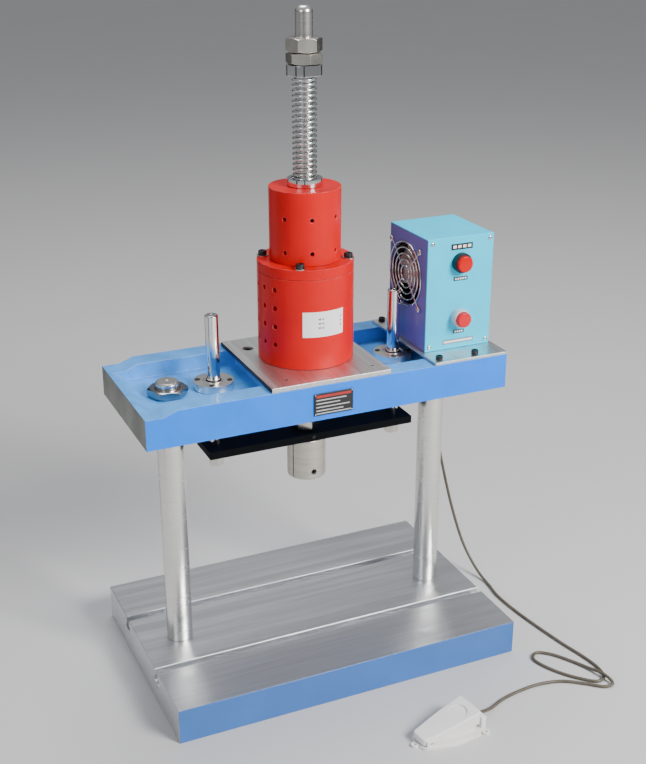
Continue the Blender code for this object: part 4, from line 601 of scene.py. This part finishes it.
# ---------------------------------------------------------------- ram
def build_ram():
    z = 800.0
    nose = [(10 - 7 + 7 * cos(radians(a)), z - 7 + 7 * sin(radians(a))) for a in range(0, 91, 9)]
    thread = []
    for k in range(15):
        thread += [(9.95, 315.2 + 1.5 * k), (9.1, 315.95 + 1.5 * k)]
    profile = [(0, 272.1), (9, 272.1), (10, 273.1), (10, 314.8), *thread, (10, 338), *nose, (0, z)]
    piece("ram", lathe(profile, 80), "column", "ram", "ram_rod", slot="bright_steel")
    seat = lathe([(10.3, 725.8), (20.5, 725.8), (20.5, 737.5), (10.3, 737.5)], closed=True, soft=0.8)
    piece("spring_cap", seat, "chrome", "ram", "spring_seat", slot="bright_steel")
    nut("lower_hex", 36, 737.8, 12.6, 10.3, 26, "zinc", "ram", "lower_ram_nut")
    nut("upper_hex", 36, 750.7, 16, 10.3, 48, "zinc", "ram", "upper_ram_nut")
    nut("crosshead_hex", 30, 301.2, 13, 10.3, 30, "zinc", "ram", "crosshead_nut")
    spring()
    bar = block(-134, 134, -25, 25, 290.9, 300.9, bevel=1.0)
    bores = [rod(10.3, (0, 0, 289), (0, 0, 302), 64)]
    bores += [rod(5.3, (x, 0, 289), (x, 0, 302), 40) for x in (-118, 118)]
    bores.append(rod(2.1, (0, -26, 295.9), (0, -21, 295.9), 24))
    piece("crosshead_bar", carve(bar, *bores), "crosshead", "ram", "crosshead", slot="black_oxide")
    grub = carve(rod(2.0, (0, -24.4, 295.9), (0, -20.9, 295.9), 24, 0.3),
                 moved(prism(hexagon(2), -1, 1.2), Matrix.Translation((0, -24.4, 295.9))
                       @ Matrix.Rotation(radians(90), 4, "X")))
    piece("crosshead_grub", grub, "oxide", "ram", slot="black_oxide")
    for tag, x in (("left", -118), ("right", 118)):
        guide = lathe([(5.3, 301.2), (8, 301.2), (8, 461.8), (6.8, 463), (1.8, 463), (0, 461.6), (0, 321.2),
                       (5.3, 321.2)], 64, soft=0.3)
        piece(f"{tag}_guide", moved(guide, at(x, 0)), "chrome", "ram", f"{tag}_guide_rod", slot="bright_steel")
        bolt = lathe([(0, 288.6), (10, 288.6), (10, 290.6), (5, 290.6), (5, 319.2), (0, 319.2)], 64, soft=0.3)
        head = prism(hexagon(16, 20), 0, 15.6)
        cone = lathe([(0, 0), (7.4, 0), (9.6, 1.3), (9.6, 16.2), (0, 16.2)], 64)
        head = moved(carve(head, cone, operation="INTERSECT"), at(0, 0, 273.05))
        bolt = carve(bolt, head, operation="UNION")
        piece(f"{tag}_bolt", moved(bolt, at(x, 0)), "zinc", "ram", f"{tag}_guide_bolt", bevel=0.15,
              slot="zinc_plate")
        build_bushing(tag, x)
    build_holder()


def spring():
    """Return spring: closed end coils, even pitch between."""
    wire, radius, length, turns, per_turn, sides = 1.65, 12.55, 118.0, 20.4, 40, 12
    count = int(turns * per_turn)
    ends, closed = 1.0, 2 * wire * 1.04
    free = (length - 2 * wire - 2 * ends * closed) / (turns - 2 * ends)
    bm = bmesh.new()
    rings = []
    for k in range(count + 1):
        t = turns * k / count
        rise = min(t, ends) * closed + min(max(t - ends, 0), turns - 2 * ends) * free
        rise += max(0.0, t - (turns - ends)) * closed
        a = 2 * pi * t
        out, up = Vector((cos(a), sin(a), 0)), Vector((0, 0, 1))
        centre = out * radius + up * (607.5 + wire + rise)
        r = wire * (0.55 if k in (0, count) else 1.0)
        rings.append([bm.verts.new(centre + r * (cos(v) * out + sin(v) * up))
                      for v in [2 * pi * j / sides for j in range(sides)]])
    for low, high in zip(rings, rings[1:]):
        for j in range(sides):
            n = (j + 1) % sides
            bm.faces.new((low[j], low[n], high[n], high[j]))
    bm.faces.new(rings[0][::-1])
    bm.faces.new(rings[-1])
    ob = piece("spring_coil", bm, "spring", "frame", "return_spring", smooth=60, slot="bright_steel")
    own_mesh(ob)


def build_bushing(tag, x):
    """Flanged bushing with a raised lip round the rod and four cap screws sunk in the flange."""
    bush = lathe([(8.4, 348.4), (14, 348.4), (14, 373.3), (24, 373.3), (24, 382.3), (12.6, 382.3), (12.2, 381.5),
                  (11.4, 381.5), (11.0, 382.3), (9.4, 382.3), (8.4, 381.3)], 112, closed=True, soft=0.5)
    tools = []
    for k in range(4):
        px, py = around(19, 90 * k + 25)
        tools.append(rod(3.5, (px, py, 378.3), (px, py, 384), 40))
    bush = carve(bush, merged(*tools))
    piece(f"{tag}_bushing", moved(bush, at(x, 0)), "turned", replaces=f"{tag}_guide_bushing",
          slot="bright_steel")
    seal = lathe([(8.5, 381.6), (9.3, 381.6), (9.3, 382.9), (8.7, 382.9)], 64, closed=True, soft=0.2)
    piece(f"{tag}_wiper", moved(seal, at(x, 0)), "black", slot="bright_steel")
    for k in range(4):
        px, py = around(19, 90 * k + 25, x)
        cap_screw(f"{tag}_flange_screw_{k + 1}", 3.4, 6.4, 4.6, 0.0001 + 0.2, (px, py, 378.6))


def build_holder():
    body = lathe([(10, 237.8), (22.7, 237.8), (23.9, 239), (23.9, 289.4), (22.7, 290.6), (10.3, 290.6),
                  (10.3, 271.8), (10, 271.8)], 112, closed=True, soft=0.4)
    x, y = around(1, 66)
    slit = moved(block(0, 30, -0.7, 0.7, 236, 292), Matrix.Rotation(atan2(y, x), 4, "Z"))
    tools = [slit, rod(3.3, (0, -25, 248.3), (0, -9, 248.3), 32)]
    flare = moved(lathe([(0, 0), (3.1, 0), (4.2, 1.4), (0, 1.4)], 32),
                  Matrix.Translation((0, -22.9, 248.3)) @ Matrix.Rotation(radians(90), 4, "X"))
    piece("holder", carve(body, *tools, flare), "holder", "ram", "tool_holder", slot="zinc_plate")
    grub = carve(rod(3, (0, -21.9, 248.3), (0, -11, 248.3), 32, 0.5),
                 moved(prism(hexagon(3), -4, 1), Matrix.Translation((0, -21.9, 248.3))
                       @ Matrix.Rotation(radians(90), 4, "X")))
    piece("holder_grub", grub, "oxide", "ram", "set_screw", slot="black_oxide")


# ---------------------------------------------------------------- control box
def build_box():
    plate = prism(soften([(129, -89.7), (228, -89.7), (228, 82), (129, 82)], 1.5), 391.8, 394.8)
    screws = [("1", 139, -80), ("2", 188, -80), ("3", 139, 72.3), ("4", 188, 72.3)]
    plate = carve(plate, *[rod(2.8, (x, y, 390), (x, y, 396), 28) for _, x, y in screws])
    piece("bracket", plate, "plate", replaces="bracket_plate", bevel=0.35, slot="ground_steel")
    for tag, x, y in screws:
        cap_screw(f"bracket_cap_{tag}", 5, 8.5, 5, 13, (x, y, 395.1), f"bracket_screw_{tag}")
    z0, z1, fz = 395.1, 535.1, 480.5
    case = block(134, 223.5, -50.7, 43.5, z0, z1, bevel=1.4)
    case = carve(case, block(136, 221.5, -60, 41.5, z0 + 2, z1 - 2), block(130, 230, -60, -50.7, z0 - 5, z1 + 5),
                 rod(38, (130, 0, fz), (140, 0, fz), 96), rod(6.3, (203, 38, 412.1), (203, 48, 412.1), 32))
    piece("case", case, ["box", "panel"], replaces="enclosure", slot="blue_paint",
          paint=lambda c, n: 1 if n.z > 0.5 and c.z > z1 - 2 else 0)
    panel = block(134.1, 223.4, -53, -51, z0, z1, bevel=0.45)
    buttons = (("power", 503.7), ("lamp", 434.9))
    panel = carve(panel, *[rod(8.3, (179, -55, z), (179, -50, z), 48) for _, z in buttons])
    piece("panel", panel, "panel", replaces="front_panel", slot="panel_blue")
    face = Matrix.Rotation(radians(90), 4, "X")
    for k, (x, z) in enumerate(((139.8, 401), (218.2, 401), (139.8, 529.5), (218.2, 529.5))):
        cross_screw(f"panel_screw_{k + 1}", 2.7, 1.7, (x, -53.02, z), face)
    for k, (x, z) in enumerate(((146, 410), (212, 410), (146, 520), (212, 520))):
        cross_screw(f"back_screw_{k + 1}", 2.7, 1.7, (x, 43.52, z), Matrix.Rotation(radians(-90), 4, "X"))
    strips = [("top", 179.9, 523.2, 29, 7.2), ("power", 179.6, 483.4, 19, 4.6), ("lamp", 179.8, 416.4, 15, 4.4),
              ("foot", 179.5, 404.3, 42, 5.2)]
    for tag, x, z, w, h in strips:
        dark = tag != "foot"
        plate = block(x - w / 2, x + w / 2, -53.5, -53.0, z - h / 2, z + h / 2, bevel=0.15, segments=2)
        piece(f"strip_{tag}", plate, "label" if dark else "mark", slot="nameplate")
        count = {"top": 4, "power": 5, "lamp": 4, "foot": 1}[tag]
        pitch = (w - 2.4) / count
        for k in range(count):
            c = x - w / 2 + 1.2 + pitch * (k + 0.5)
            half = pitch * (0.34 if dark else 0.5)
            chip = block(c - half, c + half, -53.58, -53.45, z - h * 0.24, z + h * 0.24, bevel=0.04, segments=1)
            piece(f"strip_{tag}_mark_{k + 1}", chip, "paper", slot="nameplate")
    bezel("power", 179, 503.7, 12, 9, 10, "black")
    bezel("lamp", 179, 434.9, 11.5, 11, 9.3, "collar")
    cap("power", 179, 503.7, 9, 4.5, 10, "button")
    cap("lamp", 179, 434.9, 11, 6, 9.3, "lamp")
    build_fan(fz)
    gland = lathe([(0, -8), (6, -8), (6, 0.3), (7.5, 0.3), (7.5, 4.6), (6.9, 5.0), (6.9, 6.2), (7.2, 6.6),
                   (6.6, 9.6), (4.6, 12.3), (2.4, 12.3), (2.4, 11.0), (0, 11.0)], 64, soft=0.3)
    ribs = [block(6.5, 7.6, -0.35, 0.35, 6.6, 9.4) for _ in range(18)]
    for k, rib in enumerate(ribs):
        rib.transform(Matrix.Rotation(2 * pi * k / 18, 4, "Z"))
    gland = carve(gland, merged(*ribs))
    piece("gland", moved(gland, at(203, 43.5, 412.1) @ Matrix.Rotation(radians(-90), 4, "X")), "black",
          replaces="cable_gland", slot="black_plastic")
    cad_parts["control_unit"].data.materials[0] = M["board"]


def bezel(tag, x, z, outer, height, cap_r, mat):
    stem = 4.0
    shape = lathe([(stem + GAP, -20), (8, -20), (8, GAP), (outer, GAP), (outer, height - 2.0),
                   (outer - 1.4, height), (cap_r + GAP, height), (cap_r + GAP, 1.3), (stem + GAP, 1.3)], 72,
                  closed=True, soft=0.6)
    piece(f"{tag}_bezel", moved(shape, at(x, -53, z) @ Matrix.Rotation(radians(90), 4, "X")), mat,
          replaces=f"{tag}_button_bezel", slot="black_plastic")


def cap(tag, x, z, height, proud, r, mat):
    top, low = height + proud, 1.3 + 3.6
    crown = [(r * 0.93 * sin(a), top - 0.9 + 0.9 * cos(a)) for a in [radians(v) for v in (84, 70, 50, 30, 15)]]
    shape = lathe([(0, -16.4), (4, -16.4), (4, low), (r, low), (r, top - 1.7), *crown, (0, top)], 72, soft=0.5)
    piece(f"{tag}_cap", moved(shape, at(x, -53, z) @ Matrix.Rotation(radians(90), 4, "X")), mat,
          f"{tag}_button", f"{tag}_button_cap", slot="button_red")


def build_fan(fz):
    x0, x1 = 136.3, 161.3
    outline = soften([(-40, -40), (40, -40), (40, 40), (-40, 40)], 4, steps=6)
    body = prism(outline, 0, 25)
    body = carve(body, rod(38, (0, 0, -1), (0, 0, 26), 96),
                 *[block(s * 28, s * 41, t * 28, t * 41, 4, 21) if s * t > 0 else
                   block(min(s * 28, s * 41), max(s * 28, s * 41), min(t * 28, t * 41), max(t * 28, t * 41), 4, 21)
                   for s in (-1, 1) for t in (-1, 1)])
    arms = [moved(block(-38.5, 38.5, -2, 2, 22.2, 24.7, bevel=0.4), Matrix.Rotation(radians(45 + 90 * k), 4, "Z"))
            for k in range(2)]
    motor = lathe([(0, 22), (17, 22), (17, 24.9), (0, 24.9)], 64, soft=0.4)
    body = carve(body, *arms, motor, operation="UNION")
    turn = at(x0, 0, fz) @ Matrix.Rotation(radians(90), 4, "Y")
    piece("fan_housing", moved(body, turn), "black", replaces="fan_frame", bevel=0.3, slot="black_plastic")
    hub = lathe([(0, 2), (12.5, 2), (13.3, 2.5), (16.2, 2.5), (17, 3.5), (17, 21), (0, 21)], 64, soft=0.5)
    blades = []
    for k in range(7):
        blade = bmesh.new()
        rows = []
        for i in range(9):
            u = i / 8
            r = 16 + 20.2 * u
            sweep = 0.30 * u
            pitch = radians(46 - 16 * u)
            chord = 15.5 + 5 * u
            line = []
            for j in range(7):
                w = j / 6 - 0.5
                camber = 1.5 * (1 - 4 * w * w)
                along, rise = chord * w * cos(pitch), 11.5 + chord * w * sin(pitch) * 0.72 + camber * 0.5
                a = sweep + (along - camber * 0.5) / r + 2 * pi * k / 7
                line.append((r * cos(a), r * sin(a), rise))
            rows.append(line)
        grid = {}
        for side, lift in ((0, -0.55), (1, 0.55)):
            for i, line in enumerate(rows):
                for j, (px, py, pz) in enumerate(line):
                    grid[side, i, j] = blade.verts.new((px, py, pz + lift))
        for i in range(8):
            for j in range(6):
                for side in (0, 1):
                    blade.faces.new([grid[side, i, j], grid[side, i + 1, j], grid[side, i + 1, j + 1],
                                     grid[side, i, j + 1]])
        for i in range(8):
            for j in (0, 6):
                blade.faces.new([grid[0, i, j], grid[0, i + 1, j], grid[1, i + 1, j], grid[1, i, j]])
        for j in range(6):
            for i in (0, 8):
                blade.faces.new([grid[0, i, j], grid[0, i, j + 1], grid[1, i, j + 1], grid[1, i, j]])
        blades.append(blade)
    rotor = carve(hub, *blades, operation="UNION")
    # The blades' grey is partly painted light for the dim inside of the fan.
    piece("fan_blades", moved(rotor, turn), "blade", "fan", "fan_rotor", smooth=40, slot="black_plastic")
    # Bright silver disc on the hub face, made bright partly as painted light for the dim inside of the fan.
    disc = lathe([(0, 1.93), (11.2, 1.93), (11.2, 2.03), (0, 2.03)], 64)
    piece("fan_hub_disc", moved(disc, turn), "silver", "fan", slot="black_plastic")
    wire = 0.95
    gx = 133.7 - wire
    place = at(gx, 0, fz) @ Matrix.Rotation(radians(90), 4, "Y")
    reach = 71.5 / sqrt(2)
    for k, radius in enumerate((10, 17.5, 25, 32.5, 39.6)):
        section = [2 * pi * j / 12 for j in range(12)]
        ring = lathe([(radius + wire * cos(t), wire * sin(t)) for t in section], 96, closed=True)
        extra = {"replaces": "fan_guard"} if not k else {}
        piece(f"guard_ring_{k + 1}", moved(ring, place), "chrome", slot="bright_steel", **extra)
    for k in range(4):
        diagonal = place @ Matrix.Rotation(radians(45 + 90 * k), 4, "Z")
        arm = rod(wire * 0.9, (9.4, 0, 0.25), (reach - 2.9, 0, 0.25), 16, 0.2)
        eye = lathe([(2.15, -0.6), (3.8, -0.6), (3.8, 0.6), (2.15, 0.6)], 36, closed=True, soft=0.3)
        eye.transform(at(reach, 0))
        piece(f"guard_arm_{k + 1}", moved(carve(arm, eye, operation="UNION"), diagonal), "chrome",
              slot="bright_steel")
        spot = diagonal @ Vector((reach, 0, -0.75))
        cross_screw(f"guard_screw_{k + 1}", 3.6, 2.0, spot, Matrix.Rotation(radians(-90), 4, "Y"))


# ---------------------------------------------------------------- foot switch
SWITCH = Matrix.Translation((62.9, -256.8, 0)) @ Matrix.Rotation(radians(8), 4, "Z")
HALF = 38.0


def slope(low, high):
    return lambda x, y: low + (high - low) * (x + HALF) / (2 * HALF)


EAR = [(-29 + 2.6 * cos(radians(a)), 7 + 2.6 * sin(radians(a))) for a in range(180, 361, 15)]
EAR += [(-26.4, 13.3), (-31.6, 13.3)]


def pedal_plan(inset, soft=3.0, steps=4):
    w0, w1, h = 11 - inset, 19.5 - inset, HALF - inset
    plan = [(-h, -w0), (0, -((w0 + w1) / 2 + 1.5)), (h, -w1), (h, w1), (0, (w0 + w1) / 2 + 1.5), (-h, w0)]
    return soften(plan, soft, steps=steps)


def build_switch():
    top, skirt = slope(12.5, 28), slope(5, 12)
    cover = prism(pedal_plan(0, 4.0, 5), skirt, top)
    rim = [e for e in cover.edges if all(v.co.z > top(v.co.x, 0) - 0.01 for v in e.verts)]
    bmesh.ops.bevel(cover, geom=rim, offset=1.4, segments=4, profile=0.5, affect="EDGES")
    inner = prism(pedal_plan(2), lambda x, y: skirt(x, y) - 5, lambda x, y: top(x, y) - 2.4)
    ears = [side_prism(EAR, min(s * 2.5, s * 4.5), max(s * 2.5, s * 4.5)) for s in (-1, 1)]
    cover = carve(cover, inner)
    cover = carve(cover, *ears, operation="UNION")
    cover = carve(cover, rod(1.8, (-29, -6, 7), (-29, 6, 7), 32))
    tilt = atan2(15.5, 76)
    lean = Matrix.Translation((0, 0, 20.25)) @ Matrix.Rotation(-tilt, 4, "Y")
    dish = [(11 * cos(2 * pi * k / 48) + 19, 12 * sin(2 * pi * k / 48)) for k in range(48)]
    scoop = prism(dish, lambda x, y: -0.1 - 1.5 * max(0.0, (x - 8) / 22), 4)
    cover = carve(cover, moved(scoop, lean))
    piece("treadle", moved(cover, SWITCH), "cream", "pedal", "footswitch_pedal",
          slot="cream_plastic")
    front, rear = 13.5, 26.5
    side = [(-HALF - 1.5, front - 5), (-HALF + 1, front), (-4, rear - 0.6), (4, rear), (HALF - 8, rear),
            (HALF + 4, 21)]
    plan = soften([(x, -y) for x, y in side] + side[::-1], 3, steps=4)
    base = prism(plan, 0, 3)
    lugs = [(-HALF - 4.5, 0), (HALF + 4, 25.5), (HALF + 4, -25.5)]
    adds = [lathe([(0, 0), (4.5, 0), (4.5, 3), (0, 3)], 40) for _ in lugs]
    adds = [moved(a, at(*p)) for a, p in zip(adds, lugs)]
    base = carve(base, *adds, operation="UNION")
    wall = prism(pedal_plan(3.5), 2, slope(6, 17))
    entry = block(HALF + 2, HALF + 9, -19, 19, 0.0, 18, bevel=1.0)
    base = carve(base, wall, operation="UNION")
    base = carve(base, prism(pedal_plan(5.1), 3, 40))
    bosses = [block(-32, -26, s * 4.8 if s > 0 else -7.8, 7.8 if s > 0 else -4.8, 2, 9.8) for s in (-1, 1)]
    lean = 5.75 / 35
    for s in (-1, 1):
        near = [(-35, 11.6), (-26, 11.6 + 9 * lean)]
        plan = near + [(x, y + 1.8) for x, y in reversed(near)]
        cheek = prism(soften([(x, s * y) for x, y in plan], 0.8), 2, 10.5)
        bosses.append(cheek)
    base = carve(base, entry, *bosses, operation="UNION")
    base = carve(base, rod(1.8, (-29, -16, 7), (-29, 16, 7), 32), rod(2.25, (40, 0, 10), (50, 0, 10), 32),
                 *[rod(2, (*p, -1), (*p, 5), 32) for p in lugs])
    piece("switch_base", moved(base, SWITCH), "cream", replaces="footswitch_base", bevel=0.5,
          slot="cream_plastic")
    pin = rod(1.5, (-29, -7.8, 7), (-29, 7.8, 7), 32, 0.3)
    piece("switch_pin", moved(pin, SWITCH), "chrome", replaces="pedal_pin", slot="bright_steel")
    coil = bmesh.new()
    rings = []
    for k in range(97):
        a = 2 * pi * k / 24
        out = Vector((cos(a), 0, sin(a)))
        centre = Vector((-29, -1.8 + 3.6 * k / 96, 7)) + out * 2.5
        rings.append([coil.verts.new(centre + 0.4 * (cos(v) * out + sin(v) * Vector((0, 1, 0))))
                      for v in [2 * pi * j / 8 for j in range(8)]])
    for low, high in zip(rings, rings[1:]):
        for j in range(8):
            coil.faces.new((low[j], low[(j + 1) % 8], high[(j + 1) % 8], high[j]))
    coil.faces.new(rings[0][::-1])
    coil.faces.new(rings[-1])
    piece("switch_spring", moved(coil, SWITCH), "spring", replaces="pedal_spring", smooth=60,
          slot="bright_steel")


# ---------------------------------------------------------------- cable
def smooth_route(route, spacing, floor):
    """Reads points off a centripetal Catmull-Rom curve through the route, none of them under the floor."""
    pts = [Vector(p) for p in route]
    pts = [2 * pts[0] - pts[1], *pts, 2 * pts[-1] - pts[-2]]
    out = []
    for k in range(1, len(pts) - 2):
        p0, p1, p2, p3 = pts[k - 1:k + 3]
        t0 = 0.0
        t1 = t0 + sqrt((p1 - p0).length)
        t2 = t1 + sqrt((p2 - p1).length)
        t3 = t2 + sqrt((p3 - p2).length)
        steps = max(1, round((p2 - p1).length / spacing))
        for s in range(steps):
            t = t1 + (t2 - t1) * s / steps
            a1 = p0.lerp(p1, (t - t0) / (t1 - t0))
            a2 = p1.lerp(p2, (t - t1) / (t2 - t1))
            a3 = p2.lerp(p3, (t - t2) / (t3 - t2))
            b1 = a1.lerp(a2, (t - t0) / (t2 - t0))
            b2 = a2.lerp(a3, (t - t1) / (t3 - t1))
            out.append(b1.lerp(b2, (t - t1) / (t2 - t1)))
    out.append(pts[-2])
    return [Vector((x, y, max(z, floor))) for x, y, z in out]


def build_cable():
    lie = 2.1
    start = Vector((203, 56.1, 412.1))
    end = SWITCH @ Vector((HALF + 9.3, 0, 10))
    lead = SWITCH @ Vector((HALF + 17.3, 0, 8.5))
    hang = [(204, 72, 411), (207, 90, 402), (213, 102, 378), (222, 108, 335), (236, 106, 262),
            (250, 98, 170), (262, 76, 86), (271, 55, 38), (279, 30, 10)]
    floor = [(281, 6), (277, -25), (278, -62), (284, -112), (293, -165), (301, -202), (303, -228), (298, -245),
             (286, -249), (270, -236), (254, -216), (242, -192), (239, -175), (249, -166), (263, -174),
             (279, -197)]
    lift = [(291, -222, lie + 1.0), (298, -247, lie + 4.6), (299, -262, lie + 1.2)]
    run = [(288, -262), (268, -246), (244, -230), (215, -224), (188, -225.5), (160, -231), (138, -240)]
    route = [tuple(start), *hang, *[(*p, lie) for p in floor], *lift, *[(*p, lie) for p in run],
             tuple(lead), tuple(end)]
    points = smooth_route(route, 5, lie)
    length = sum((b - a).length for a, b in zip(points, points[1:]))
    curve = bpy.data.curves.new("switch_cable", "CURVE")
    curve.dimensions = "3D"
    curve.bevel_depth, curve.bevel_resolution, curve.use_fill_caps = 2.0 * MM, 4, True
    curve.resolution_u = 1
    line = curve.splines.new("POLY")
    line.points.add(len(points) - 1)
    for target, p in zip(line.points, points):
        target.co = (*(p * MM), 1.0)
    line.use_smooth = True
    curve.materials.append(M["cable"])
    ob = bpy.data.objects.new("switch_cable", curve)
    bpy.context.scene.collection.objects.link(ob)
    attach(ob, "frame")
    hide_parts("footswitch_cable")


# ---------------------------------------------------------------- floor, light and camera
def build_stage():
    bm = bmesh.new()
    bmesh.ops.create_grid(bm, x_segments=2, y_segments=2, size=40.0)
    mesh = bpy.data.meshes.new("floor")
    bm.to_mesh(mesh)
    bm.free()
    mesh.materials.append(finish("floor_paper", (0.60, 0.60, 0.60), 0.80, spread=0.01, grain=3, bump=0.05,
                                 bump_scale=60))
    floor = bpy.data.objects.new("floor", mesh)
    bpy.context.scene.collection.objects.link(floor)
    flags = [("behind_camera", -113.4, 1.25, 0.16, 1.0), ("back_right", 25, 0.95, 0.34, 1.0),
             ("back_left", 110, 0.95, 0.30, 1.0), ("front_left", -165, 0.95, 0.16, 1.0)]
    for name, degrees, reach, wide, high in flags:
        a = radians(degrees)
        card = block(-wide / 2, wide / 2, -0.005, 0.005, 0.0, high)
        card.transform(Matrix.Translation((reach * cos(a), reach * sin(a), 0.0)) @
                       Matrix.Rotation(a + pi / 2, 4, "Z"))
        mesh = bpy.data.meshes.new(name)
        card.to_mesh(mesh)
        card.free()
        mesh.materials.append(M["flag"])
        ob = bpy.data.objects.new(name, mesh)
        bpy.context.scene.collection.objects.link(ob)
        for kind in ("camera", "diffuse", "transmission", "shadow", "volume_scatter"):
            setattr(ob, "visible_" + kind, False)
    world = bpy.data.worlds.new("studio")
    bpy.context.scene.world = world
    world.use_nodes = True
    tree = world.node_tree
    background = tree.nodes["Background"]
    place = tree.nodes.new("ShaderNodeTexCoord")
    split = tree.nodes.new("ShaderNodeSeparateXYZ")
    ramp = tree.nodes.new("ShaderNodeValToRGB")
    tree.links.new(place.outputs["Generated"], split.inputs["Vector"])
    tree.links.new(split.outputs["Z"], ramp.inputs["Fac"])
    ramp.color_ramp.elements[0].position, ramp.color_ramp.elements[0].color = 0.0, (0.34, 0.34, 0.36, 1)
    ramp.color_ramp.elements[1].position, ramp.color_ramp.elements[1].color = 0.75, (0.95, 0.96, 1.0, 1)
    tree.links.new(ramp.outputs["Color"], background.inputs["Color"])
    background.inputs["Strength"].default_value = 0.42
    lights = [("key", (1.05, -2.0, 1.8), (0, 0, 0.40), 0.9, 108, (1.0, 0.99, 0.97)),
              ("fill", (-2.2, -1.2, 1.6), (0, 0, 0.35), 1.3, 12, (0.95, 0.97, 1.0)),
              ("top", (0.2, 0.9, 2.8), (0, 0, 0.4), 1.2, 34, (1.0, 1.0, 1.0))]
    for name, place, aim, size, power, colour in lights:
        data = bpy.data.lights.new(name, "AREA")
        data.energy, data.size, data.color = power, size, colour
        ob = bpy.data.objects.new(name, data)
        ob.location = place
        ob.rotation_euler = (Vector(aim) - Vector(place)).to_track_quat("-Z", "Y").to_euler()
        bpy.context.scene.collection.objects.link(ob)
    data = bpy.data.cameras.new("camera")
    data.lens, data.sensor_width = 57.72, 36
    camera = bpy.data.objects.new("camera", data)
    camera.location = (-0.5479, -1.2675, 0.9224)
    camera.rotation_euler = Euler((radians(90 - 22.18), 0, radians(-24.24)))
    bpy.context.scene.collection.objects.link(camera)
    bpy.context.scene.camera = camera


build_stage()
build_cable()
build_base()
build_beam()
build_plate()
build_solenoid()
build_ram()
build_box()
build_switch()
